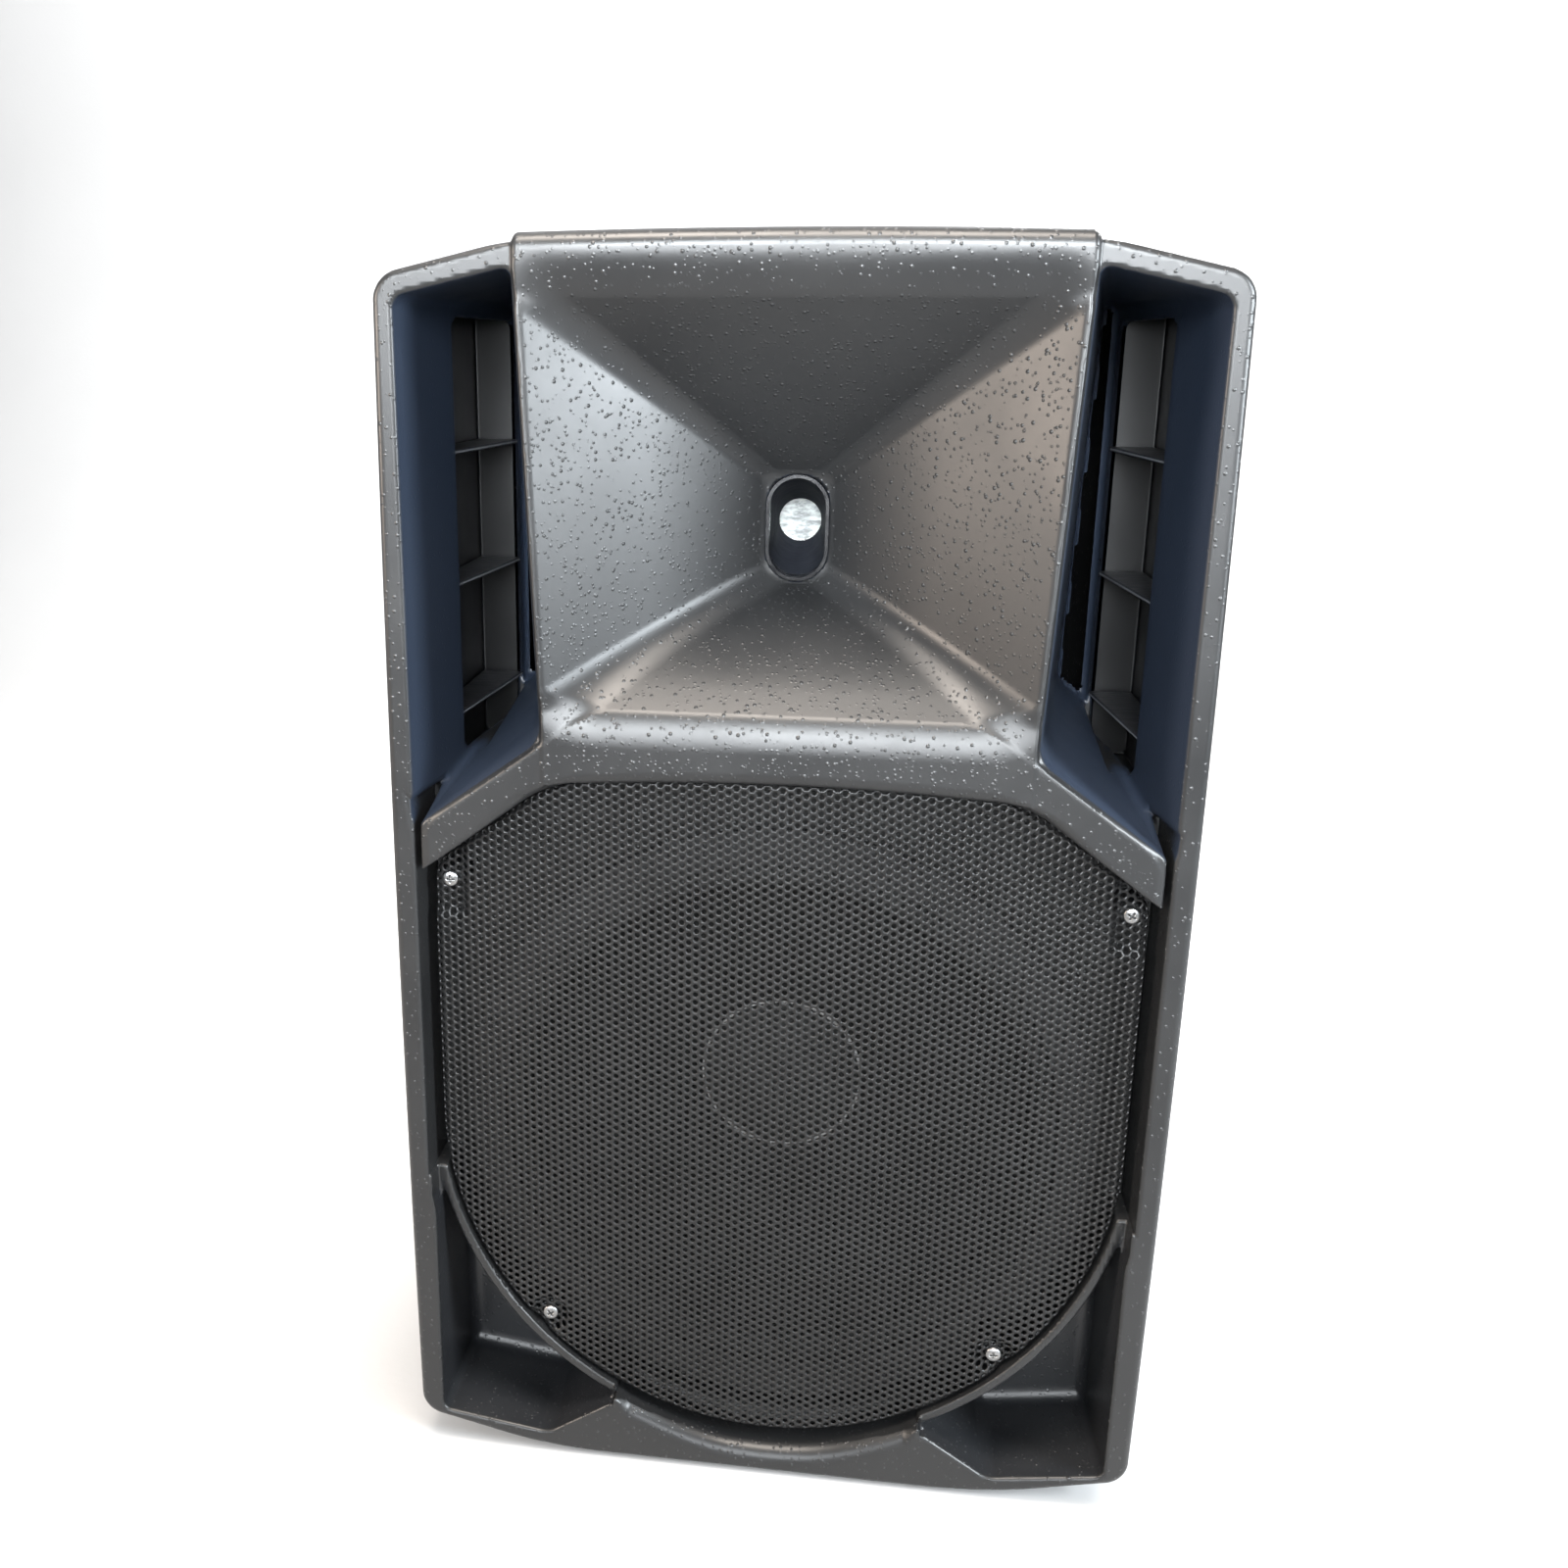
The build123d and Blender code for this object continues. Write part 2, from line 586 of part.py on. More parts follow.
def driver_back_plate():
    return tube_y(0, HORN_Z, 50, 26, DRIVER_FACE + 23.5, DRIVER_FACE + 29.5)


def driver_phase_plug():
    """Cone in the driver's bore that evens out the sound paths."""
    tip = DRIVER_FACE + 5.5
    base = DRIVER_FACE + 30.5
    return turned([(0, tip), (1.5, tip), (9.5, base - 1.5), (9.5, base), (0, base)], HORN_Z)


def driver_diaphragm():
    """Thin dome with its flat edge."""
    edge = DRIVER_END - 16
    ball = Pos(0, DRIVER_END - 37, HORN_Z) * (Sphere(31) - Sphere(30.5))
    dome = ball & box(-40, 40, edge + 0.3, DRIVER_END, HORN_Z - 40, HORN_Z + 40)
    return dome + tube_y(0, HORN_Z, 26.0, 22.0, edge, edge + 0.6)


def driver_voice_coil():
    return tube_y(0, HORN_Z, 25.1, 24.4, DRIVER_FACE + 24.5, DRIVER_END - 16.1)


def driver_cover():
    cover = rod_y(0, HORN_Z, 48, DRIVER_FACE + 29.5, DRIVER_END)
    cover -= rod_y(0, HORN_Z, 45, DRIVER_FACE + 28, DRIVER_END - 3)
    return cover


def driver_bolts():
    bolts = []
    for x in (-DRIVER_BOLT_R, DRIVER_BOLT_R):
        head = rod_y(x, HORN_Z, 5, ADAPTOR_END - 14, ADAPTOR_END - 9)
        bolts.append(head + rod_y(x, HORN_Z, 2.9, ADAPTOR_END - 10, DRIVER_FACE + 6.5))
    return bolts


def driver_terminals():
    return [box(x - 3, x + 3, DRIVER_END - 20, DRIVER_END - 8, DRIVER_TERMINAL_Z, DRIVER_TERMINAL_Z + 8.4)
            for x in (-DRIVER_TERMINAL_X, DRIVER_TERMINAL_X)]


# Handles

def handle(length, width):
    """Handle cup with a round grip bar across it. It opens upwards and its flange top is at z = 0."""
    cup = Pos(0, 0, -HANDLE_CUP / 2) * Box(length, width, HANDLE_CUP)
    cup = fillet(cup.edges().filter_by(Axis.Z), 12)
    flange = extrude(Pos(0, 0, -HANDLE_FLANGE) * RectangleRounded(length + 22, width + 22, 14),
                     amount=HANDLE_FLANGE)
    hollow = Pos(0, 0, -HANDLE_CUP / 2 + 2) * Box(length - 6, width - 6, HANDLE_CUP)
    hollow = fillet(hollow.edges().filter_by(Axis.Z), 9)
    body = cup + flange - hollow
    body += Pos(0, 0, -GRIP_SUNK) * Rot(0, 90, 0) * Cylinder(GRIP_R, length - 3)
    for x, y in handle_screw_points(length, width):
        body -= Pos(x, y, -HANDLE_FLANGE) * Cylinder(1.9, 3 * HANDLE_FLANGE)
    return body


def handle_screw_points(length, width):
    return [(sx * (length / 2 + 5.5), sy * (width / 2 - 6)) for sx in (-1, 1) for sy in (-1, 1)]


def handle_screws(length, width):
    screws = []
    for x, y in handle_screw_points(length, width):
        head = Pos(x, y, 0.75) * Cylinder(3.6, 1.5)
        screws.append(head + Pos(x, y, -6) * Cylinder(1.6, 13))
    return screws


def handle_cut(length, width):
    """Recess for the flange, hole for the cup and pilot holes for the screws."""
    cut = extrude(Pos(0, 0, -HANDLE_FLANGE) * RectangleRounded(length + 22.6, width + 22.6, 14.3),
                  amount=2 * HANDLE_FLANGE + HANDLE_SUNK)
    cut += Pos(0, 0, -HANDLE_CUP / 2) * Box(length + 0.6, width + 0.6, HANDLE_CUP + 1)
    for x, y in handle_screw_points(length, width):
        cut += Pos(x, y, -6) * Cylinder(1.7, 20)
    return cut


def top_handle_place():
    return Pos(0, TOP_HANDLE_DEPTH, BODY_HEIGHT - HANDLE_SUNK)


def side_handle_place():
    """On the right side, with the grip running from front to back."""
    return Pos(WIDTH / 2 - HANDLE_SUNK, SIDE_HANDLE_DEPTH, SIDE_HANDLE_Z) * Rot(0, 90, 0) * Rot(0, 0, 90)


# Stand socket, rigging points and feet

def pole_screw_points():
    angles = [radians(45 + 90 * turn) for turn in range(4)]
    return [(POLE_SCREW_CIRCLE_R * cos(angle), POLE_DEPTH + POLE_SCREW_CIRCLE_R * sin(angle))
            for angle in angles]


def pole_socket():
    """Cup for a 35 mm speaker stand, with a round flange let into the base."""
    socket = rod_z(0, POLE_DEPTH, POLE_FLANGE_R, 0, 3) + rod_z(0, POLE_DEPTH, POLE_R + 4, 0, POLE_TUBE + 3)
    socket -= rod_z(0, POLE_DEPTH, POLE_R, -1, POLE_TUBE)
    for x, y in pole_screw_points():
        socket -= rod_z(x, y, 2.0, -1, 4)
    return socket


def pole_screws():
    return [rod_z(x, y, 3.6, -1.8, 0) + rod_z(x, y, 1.7, -0.5, 14) for x, y in pole_screw_points()]


def rigging_inserts():
    """Steel M10 inserts: two in the top and one high on the back."""
    inserts = []
    for x in RIGGING_XS:
        insert = rod_z(x, RIGGING_DEPTH, RIGGING_INSERT_R, BODY_HEIGHT - RIGGING_INSERT, BODY_HEIGHT)
        bore = rod_z(x, RIGGING_DEPTH, RIGGING_R, BODY_HEIGHT - RIGGING_BORE, BODY_HEIGHT + 1)
        inserts.append(insert - bore)
    back = rod_y(0, RIGGING_BACK_Z, RIGGING_INSERT_R, DEPTH - RIGGING_INSERT, DEPTH)
    back -= rod_y(0, RIGGING_BACK_Z, RIGGING_R, DEPTH - RIGGING_BORE, DEPTH + 1)
    return inserts + [back]


def foot(x, y):
    """Round rubber foot with a recess for its screw."""
    body = rod_z(x, y, FOOT_R, -FOOT_PROUD, 0)
    body = chamfer(body.edges().sort_by(Axis.Z)[0], 1)
    body -= rod_z(x, y, 5, -FOOT_PROUD - 1, -1.5)
    return body - rod_z(x, y, 2.4, -FOOT_PROUD - 1, 1)


def foot_screws():
    return [rod_z(x, y, 4.2, -3.2, -1.5) + rod_z(x, y, 2.1, -2, 9) for x, y in FEET]


# Amplifier module

def panel_screw_points():
    heights = (PANEL_LOW + 5, 146.0, 230.0, 314.0, PANEL_HIGH - 5)
    return [(x, z) for z in heights for x in (-PANEL_HALF_WIDTH + 5, PANEL_HALF_WIDTH - 5)]


def panel_hole(x, z, radius):
    return rod_y(x, z, radius, PANEL_DEPTH - 1, PANEL_FACE + 1)


def panel_slot(x, z, half_width, half_height):
    return box(x - half_width, x + half_width, PANEL_DEPTH - 1, PANEL_FACE + 1, z - half_height,
               z + half_height)


def amplifier_panel():
    panel = box(-PANEL_HALF_WIDTH, PANEL_HALF_WIDTH, PANEL_DEPTH, PANEL_FACE, PANEL_LOW, PANEL_HIGH)
    for x, z in panel_screw_points():
        panel -= panel_hole(x, z, 2.0)
    for x in INPUT_XS + [LINK_X]:
        panel -= panel_hole(x, SOCKET_ROW_Z, SOCKET_R + 0.2)
    for x in INPUT_XS:
        panel -= panel_hole(x, CONTROL_ROW_Z, 3.6)
        panel -= panel_slot(x, SOCKET_ROW_Z + 6.7, 3.6, 6.7)
    panel -= panel_hole(BUTTON_X, CONTROL_ROW_Z, 4.4)
    panel -= panel_hole(LED_X, CONTROL_ROW_Z, 2.6)
    panel -= panel_slot(INLET_X, MAINS_ROW_Z, 14.2, 17.2)
    panel -= panel_slot(SWITCH_X, MAINS_ROW_Z, 9.7, 13.2)
    return panel


def panel_screws():
    return [screw_y(x, z, 1.6, 3.6, PANEL_DEPTH - 6, PANEL_FACE, 2.4) for x, z in panel_screw_points()]


def heat_sink():
    """Finned aluminium block on the upper half of the panel."""
    half_width, low, high, fins = 84.0, 246.0, 386.0, 15
    sink = box(-half_width, half_width, PANEL_FACE, PANEL_FACE + 3, low, high)
    for fin in range(fins):
        x = -(half_width - 1) + fin * 2 * (half_width - 1) / (fins - 1)
        sink += box(x - 1, x + 1, PANEL_FACE, PANEL_FACE + 14, low, high)
    return sink


def circuit_board():
    return box(-88, 88, BOARD_DEPTH, BOARD_DEPTH + 1.6, 78, 236)


def board_spacers():
    return [rod_y(x, z, 4, BOARD_DEPTH + 1.6, PANEL_DEPTH) for x in (-82, 82) for z in (88, 226)]


def filter_capacitors():
    places = ((-60, 110), (-30, 110), (60, 110), (60, 195))
    return [rod_y(x, z, 12.5, BOARD_DEPTH - 34, BOARD_DEPTH) for x, z in places]


def power_transformer():
    """Toroid bolted behind the heat sink."""
    ring = tube_y(0, 318, 46, 14, PANEL_DEPTH - 38, PANEL_DEPTH)
    return fillet(ring.edges().filter_by(GeomType.CIRCLE).sort_by(Axis.Y)[:2], 5)


def inlet_box(half_width, y0, y1, low, high):
    """Box about the mains inlet's middle, with depths from the panel's face."""
    return box(INLET_X - half_width, INLET_X + half_width, PANEL_FACE + y0, PANEL_FACE + y1,
               MAINS_ROW_Z + low, MAINS_ROW_Z + high)


def mains_inlet():
    """Appliance inlet with the fuse drawer's guide under it."""
    inlet = inlet_box(24, 0, 2.5, -19, 19) + inlet_box(14, -28, 0, -17, 17)
    inlet -= inlet_box(12, -17, 4, -2, 14)
    return inlet - inlet_box(11, -20, 4, -14, -5)


def inlet_pins():
    pins = []
    for x, z in ((-7, 4), (7, 4), (0, 9)):
        pins.append(Pos(x, 0, z) * inlet_box(1, -17, -3, -2, 2))
    return pins


def fuse_drawer():
    """Tray for two fuses, open below, with a finger tab."""
    drawer = inlet_box(10.7, -19.5, 2.5, -13.7, -5.3) + inlet_box(6, 2.5, 4, -12, -7)
    return drawer - inlet_box(9, -18, -2, -14.5, -7)


def fuses():
    return [rod_y(INLET_X + x, MAINS_ROW_Z - 10.4, 2.5, PANEL_FACE - 17.5, PANEL_FACE - 2.5) for x in (-5, 5)]


def switch_box(half_width, y0, y1, half_height):
    """Box about the power switch's middle, with depths from the panel's face."""
    return box(SWITCH_X - half_width, SWITCH_X + half_width, PANEL_FACE + y0, PANEL_FACE + y1,
               MAINS_ROW_Z - half_height, MAINS_ROW_Z + half_height)


def switch_frame():
    frame = switch_box(12, 0, 2, 15.5) + switch_box(9.5, -24, 0, 13)
    return frame - switch_box(8, -17, 3, 11.5)


def switch_rocker():
    """Rocker with a shallow V face, resting on its lower stop and turning about an x axis."""
    profile = [(-8, -5), (3.4, -9.4), (1.6, 0), (3.4, 9.4), (-8, 5)]
    points = [(SWITCH_X - 7.5, PANEL_FACE + depth, MAINS_ROW_Z + height) for depth, height in profile]
    rocker = extrude(polygon(points), amount=15, dir=(1, 0, 0))
    pivot = Axis((SWITCH_X, PANEL_FACE - ROCKER_PIVOT_BACK, MAINS_ROW_Z), (1, 0, 0))
    return rocker.rotate(pivot, -ROCKER_TILT)


def socket_shell(x):
    """Square flange on the panel and a barrel behind it."""
    flange = box(x - 13, x + 13, PANEL_FACE, PANEL_FACE + 2, SOCKET_ROW_Z - 15.5, SOCKET_ROW_Z + 15.5)
    return flange + rod_y(x, SOCKET_ROW_Z, SOCKET_R, PANEL_FACE - 24, PANEL_FACE)


def contact_points(x):
    """Middles of three contacts on a circle round the socket's axis."""
    angles = [radians(90 + 120 * turn) for turn in range(3)]
    return [(x + CONTACT_CIRCLE_R * cos(angle), SOCKET_ROW_Z + CONTACT_CIRCLE_R * sin(angle))
            for angle in angles]


def input_socket(x):
    """Combined socket: a jack bore in the middle of three contact holes inside a round groove."""
    body = socket_shell(x) - tube_y(x, SOCKET_ROW_Z, 9.6, 7.6, PANEL_FACE - 15, PANEL_FACE + 3)
    body -= rod_y(x, SOCKET_ROW_Z, JACK_R, PANEL_FACE - 20, PANEL_FACE + 3)
    for pin_x, pin_z in contact_points(x):
        body -= rod_y(pin_x, pin_z, 1.2, PANEL_FACE - 14, PANEL_FACE + 3)
    return body - box(x - 3.4, x + 3.4, PANEL_FACE - 12, PANEL_FACE + 3, SOCKET_ROW_Z + 9.5,
                      SOCKET_ROW_Z + 13.2)


def socket_latch(x):
    """Push tab that lets the plug go. It travels into the socket."""
    return box(x - 3, x + 3, PANEL_FACE - 7, PANEL_FACE + 3.6, SOCKET_ROW_Z + 9.9, SOCKET_ROW_Z + 12.8)


def link_socket():
    """Output connector: an open cup with three pins."""
    return socket_shell(LINK_X) - rod_y(LINK_X, SOCKET_ROW_Z, 9.6, PANEL_FACE - 15, PANEL_FACE + 3)


def link_pins():
    return [rod_y(x, z, 1.2, PANEL_FACE - 15, PANEL_FACE - 4) for x, z in contact_points(LINK_X)]


def potentiometer(x):
    """Threaded bush and can behind the panel."""
    can = rod_y(x, CONTROL_ROW_Z, 8, PANEL_DEPTH - 10, PANEL_DEPTH)
    bush = rod_y(x, CONTROL_ROW_Z, 3.5, PANEL_DEPTH - 1, PANEL_FACE + 1)
    return can + bush - rod_y(x, CONTROL_ROW_Z, 2.2, PANEL_DEPTH - 6, PANEL_FACE + 3)


def level_knob(x):
    """Fluted knob with its shaft and a pointer ridge."""
    start, end, flutes = PANEL_FACE + 1.6, PANEL_FACE + 12.6, 18
    knob = rod_y(x, CONTROL_ROW_Z, KNOB_R, start, end)
    knob = chamfer(knob.edges().sort_by(Axis.Y)[-1], 1)
    for turn in range(flutes):
        angle = 2 * pi * (turn + 0.5) / flutes
        groove_x = x + (KNOB_R + 0.6) * cos(angle)
        groove_z = CONTROL_ROW_Z + (KNOB_R + 0.6) * sin(angle)
        knob -= rod_y(groove_x, groove_z, 1, start - 1, end + 1)
    knob += box(x - 0.6, x + 0.6, end - 0.5, end + 0.5, CONTROL_ROW_Z + 1, CONTROL_ROW_Z + 7.5)
    return knob + rod_y(x, CONTROL_ROW_Z, 2.15, PANEL_DEPTH - 5, start + 1)


def button_guide():
    body = box(BUTTON_X - 6, BUTTON_X + 6, PANEL_DEPTH - 12, PANEL_DEPTH, CONTROL_ROW_Z - 6,
               CONTROL_ROW_Z + 6)
    return body - rod_y(BUTTON_X, CONTROL_ROW_Z, 4.3, PANEL_DEPTH - 10, PANEL_DEPTH + 1)


def voicing_button():
    return rod_y(BUTTON_X, CONTROL_ROW_Z, 4, PANEL_DEPTH - 5, PANEL_FACE + 5)


def status_lens():
    lens = rod_y(LED_X, CONTROL_ROW_Z, 3.4, PANEL_FACE, PANEL_FACE + 1)
    return lens + rod_y(LED_X, CONTROL_ROW_Z, 2.5, PANEL_DEPTH - 6, PANEL_FACE + 2.5)


# Internal leads

def lead(route, diameter):
    """Tube along straight runs joined by the widest arcs that the runs allow."""
    points = [Vector(*point) for point in route]
    radii = []
    for before, corner, after in zip(points, points[1:], points[2:]):
        run_in, run_out = corner - before, after - corner
        half_turn = radians(run_in.get_angle(run_out)) / 2
        radii.append(0.45 * min(run_in.length, run_out.length) * cos(half_turn) / sin(half_turn))
    path = FilletPolyline(*points, radius=radii)
    print("lead", round(path.length), "mm, smallest radius", round(min(radii), 1))
    section = Plane(origin=path @ 0, z_dir=path % 0) * Circle(diameter / 2)
    return sweep(section, path=path)


WOOFER_LEAD_ROUTE = [
    (-45, BOARD_DEPTH, 215), (-45, 308, 215), (-44, 286, 223), (-41, 264, 241), (-36, 242, 265),
    (-29, 220, 289), (-20, 197, 308), (-TERMINAL_X, 172, TERMINAL_Z), (-TERMINAL_X, TERMINAL_END, TERMINAL_Z),
]
DRIVER_LEAD_ROUTE = [
    (45, BOARD_DEPTH, 222), (45, 308, 222), (47, 286, 236), (47, 269, 262), (44, 257, 300),
    (38, 247, 345), (31, 237, 392), (24, 224, 438), (15, 205, 470), (DRIVER_TERMINAL_X, 190, 494),
    (DRIVER_TERMINAL_X, 190, DRIVER_TERMINAL_Z),
]


def damping_foam():
    """Wadding pads on the inside of the rear shell's top and base."""
    return [box(-82, 82, 222, 352, 640, 690), box(-70, 70, 225, 320, 30, 62)]


def main():
    save("front_shell", front_shell())
    save("rear_shell", rear_shell())
    save("shell_gasket", shell_gasket())
    save("shell_screws", *shell_screws())
    save("grille", grille())
    save("grille_screws", *grille_screws())
    save("woofer_gasket", woofer_gasket())
    save("woofer_basket", woofer_basket())
    save("woofer_surround", woofer_surround())
    save("woofer_cone", woofer_cone())
    save("woofer_dust_cap", woofer_dust_cap())
    save("woofer_voice_coil", woofer_voice_coil())
    save("woofer_spider", woofer_spider())
    save("woofer_top_plate", woofer_top_plate())
    save("woofer_magnet", woofer_magnet())
    save("woofer_pole_piece", woofer_pole_piece())
    save("woofer_terminals", woofer_terminals())
    save("woofer_screws", *woofer_screws())
    save("throat_ring", throat_ring())
    save("throat_adaptor", throat_adaptor())
    save("horn_screws", *adaptor_screws(), *driver_bolts())
    save("driver_gasket", driver_gasket())
    save("driver_front_plate", driver_front_plate())
    save("driver_screen", driver_screen())
    save("driver_magnet", driver_magnet())
    save("driver_pole_piece", driver_pole_piece())
    save("driver_back_plate", driver_back_plate())
    save("driver_phase_plug", driver_phase_plug())
    save("driver_diaphragm", driver_diaphragm(), driver_voice_coil())
    save("driver_cover", driver_cover(), *driver_terminals())
    side_handle = side_handle_place() * handle(*SIDE_HANDLE_SIZE)
    side_screws = [side_handle_place() * screw for screw in handle_screws(*SIDE_HANDLE_SIZE)]
    top_screws = [top_handle_place() * screw for screw in handle_screws(*TOP_HANDLE_SIZE)]
    save("top_handle", top_handle_place() * handle(*TOP_HANDLE_SIZE))
    save("side_handle_right", side_handle)
    save("side_handle_left", mirrored(side_handle))
    save("handle_screws", *top_screws, *side_screws, *[mirrored(screw) for screw in side_screws])
    save("pole_socket", pole_socket())
    save("rigging_inserts", *rigging_inserts())
    save("rubber_feet", *[foot(x, y) for x, y in FEET])
    save("base_screws", *foot_screws(), *pole_screws())
    save("amplifier_panel", amplifier_panel())
    save("panel_screws", *panel_screws())
    save("heat_sink", heat_sink())
    save("circuit_board", circuit_board(), *board_spacers(), *filter_capacitors())
    save("power_transformer", power_transformer())
    save("mains_inlet", mains_inlet(), *inlet_pins())
    save("fuse_drawer", fuse_drawer(), *fuses())
    save("power_switch_frame", switch_frame())
    save("power_switch_rocker", switch_rocker())
    for number, x in enumerate(INPUT_XS, 1):
        save(f"input_socket_{number}", input_socket(x))
        save(f"socket_latch_{number}", socket_latch(x))
        save(f"level_knob_{number}", level_knob(x))
    save("link_socket", link_socket(), *link_pins())
    save("control_backs", *[potentiometer(x) for x in INPUT_XS], button_guide())
    save("voicing_button", voicing_button())
    save("status_lens", status_lens())
    save("woofer_lead", lead(WOOFER_LEAD_ROUTE, 5.0))
    save("driver_lead", lead(DRIVER_LEAD_ROUTE, 5.0))
    save("damping_foam", *damping_foam())


main()
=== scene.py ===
import math

import bmesh
import bpy
import numpy as np
from mathutils import Matrix, Vector


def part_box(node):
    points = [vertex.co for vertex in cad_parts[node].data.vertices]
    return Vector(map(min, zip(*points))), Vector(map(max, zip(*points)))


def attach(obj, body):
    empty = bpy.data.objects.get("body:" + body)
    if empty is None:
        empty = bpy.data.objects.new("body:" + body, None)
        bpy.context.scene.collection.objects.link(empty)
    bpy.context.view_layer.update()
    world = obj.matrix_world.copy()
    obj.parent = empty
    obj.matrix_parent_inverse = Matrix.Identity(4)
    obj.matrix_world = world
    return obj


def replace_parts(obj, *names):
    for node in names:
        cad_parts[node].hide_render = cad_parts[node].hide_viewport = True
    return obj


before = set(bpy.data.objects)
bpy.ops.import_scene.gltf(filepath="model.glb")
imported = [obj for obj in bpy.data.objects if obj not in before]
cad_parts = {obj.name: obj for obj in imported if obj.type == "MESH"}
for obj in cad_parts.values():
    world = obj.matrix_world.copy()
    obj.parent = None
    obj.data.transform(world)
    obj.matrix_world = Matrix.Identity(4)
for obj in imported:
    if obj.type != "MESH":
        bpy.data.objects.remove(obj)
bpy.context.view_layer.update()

# The mouldings are worked out in millimetres: x across, d = depth behind the front rim, z = height above
# the cabinet base. to_metres() takes them to the row frame. Both mouldings are the same left and right,
# so x is the distance from the middle.
SHELL_LOW, SHELL_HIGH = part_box("front_shell")
GASKET_LOW, GASKET_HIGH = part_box("shell_gasket")
RIM_Y = SHELL_LOW.y
BASE_Z = SHELL_LOW.z


def depth_of(y):
    """Depth in millimetres of a y in the row frame."""
    return (y - RIM_Y) * 1000


def height_of(z):
    """Height in millimetres of a z in the row frame."""
    return (z - BASE_Z) * 1000


HALF_WIDTH = SHELL_HIGH.x * 1000
BLOCK_TOP = height_of(SHELL_HIGH.z)
JOINT_FRONT = depth_of(GASKET_LOW.y)
JOINT_BACK = depth_of(GASKET_HIGH.y)
CABINET_DEPTH = depth_of(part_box("rear_shell")[1].y)
PANEL_LOW, PANEL_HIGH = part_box("amplifier_panel")

# Outline of the cabinet
BARREL = 2.8
BARREL_Z = 360.0
BODY_TOP = 726.0
CORNER = 18.0
CORNER_R = 12.0
BLOCK_HALF = 143.5
BLOCK_LOW_HALF = 133.0
BASE_HALF = 131.0
WING_FRONT = 4.0
BACK_HALF_WIDTH = 150.0
BASE_TAPER = 0.28
WALL = 5.0

# Roundings of the front moulding's edges, and what the widest lips add to them
EDGE_R = 2.2
TOP_LIP_R = 8.0
TOP_LIP_SLOPE = 1.02
TOP_LIP_STEP = (690.0, 704.0)
LOW_LIP_R = 10.0
LOW_LIP_STEP = (-494.0, -480.0)
RECESS_LIP_R = 5.0
RECESS_LIP_STEP = (400.0, 440.0)
BACK_EDGE_R = 9.0
PANEL_EDGE_R = 1.5
FITTING_EDGE_R = 0.6

# Horn and throat
HORN_Z = 573.0
MOUTH_TOP = 706.0
MOUTH_LOW = 478.0
MOUTH_HALF = 141.0
MOUTH_LOW_HALF = 131.0
BLOCK_FOOT_Z = 470.0
BLOCK_BASE_Z = 440.0
BLOCK_CROWN = 1.8
BLOCK_ROLL_R = 9.0
THROAT_DEPTH = 100.0
THROAT_HALF = 18.2
THROAT_HALF_HEIGHT = 30.7
FLOOR_KINK = 50.0
STEEP_FLOOR = 0.76
FLAT_FLOOR = 0.53
SIDE_COS = 0.646
TOP_COS = 0.699
STEEP_COS = 0.796
FLAT_COS = 0.883

# Channels and ports beside the horn. The outer wall has a steep front part and a flatter back part.
CHANNEL_X = 208.0
CHANNEL_END = 200.0
CHANNEL_TOP = [(CHANNEL_X, 698.0), (BLOCK_HALF, 713.0)]
CHANNEL_STEEP = 0.14
CHANNEL_FLAT = 0.092
CHANNEL_STEP = 3.6
BLOCK_DRAFT = 0.1725
BAR_DRAFT = 0.113
BAR_TOP = [(131.0, 466.0), (208.0, 410.0)]
BAR_TIP_X = 203.5
BAR_BASE_Z = 380.0
PORT_DEPTHS = (82.0, 190.0)
PORT_LOW = 436.0
PORT_HIGH = 690.0
PORT_XS = (184.0, 206.0)
PORT_CORNER = 8.0
PORT_SPACE_DEPTHS = (60.0, CHANNEL_END - 2)
PORT_SPACE_ZS = (418.0, 700.0)
PORT_SPACE_WALL = 4.0
RIB_HEIGHTS = [459.8, 537.8, 614.8]
RIB_THICK = 2.8

# Grille, woofer recess and corner pockets
WOOFER_Z = 217.5
GRILLE_Z = 225.5
GRILLE_R = 201.7
GRILLE_TOP = [(201.7, 384.5), (129.0, 438.5)]
GRILLE_ARCH = 5.5
GRILLE_FRONT = 12.0
GRILLE_BEND_R = 2500.0
GRILLE_SHEET = 1.3
GRILLE_FOLD_R = 3.0
GRILLE_FOLD = 5.0
DIMPLE_DEPTH = 3.0
HOLE_PITCH = 4.9
HOLE_R = 1.65
HOLE_SIDES = 12
HOLE_COLUMNS = 49
HOLE_ROWS = (-2, 92)
FIRST_ROW_Z = 4.0
SCREW_PLACES = [(192.0, 375.0), (136.0, 89.5)]
GRILLE_SCREW_HEAD = (0.0047, 0.0030)
BAFFLE_DEPTH = 46.0
BORE_R = 178.0
BORE_DEPTHS = (40.0, 260.0)
RECESS_X = 207.2
RECESS_GAP = 1.8
RECESS_LOW_GAP = 1.3
RECESS_UPPER_Z = 188.0
SIDE_GAP_X = 203.8
SIDE_GAP_ZS = (300.0, 425.0)
RING_R = 209.0
RING_MIDDLE_R = 205.0
RING_HALF_WIDTH = 7.0
RING_STEP = 3.0
RING_TOP_Z = 230.0
SCOOP_R = 212.0
SCOOP_DEPTH = 34.0
SCOOP_TOP_Z = 60.0
POCKET_X = 204.0
POCKET_DRAFT = 0.06
POCKET_SIDE_DRAFT = 0.04
POCKET_TIP = (93.0, 38.3)
POCKET_LOW = (136.0, 10.0)
POCKET_CORNER = (204.0, 20.0)
POCKET_DEPTH = 70.0
SCREW_POST_R = 6.5
DRIVER_SPACE_R = 62.0
DRIVER_DEPTHS = (111.0, 260.0)

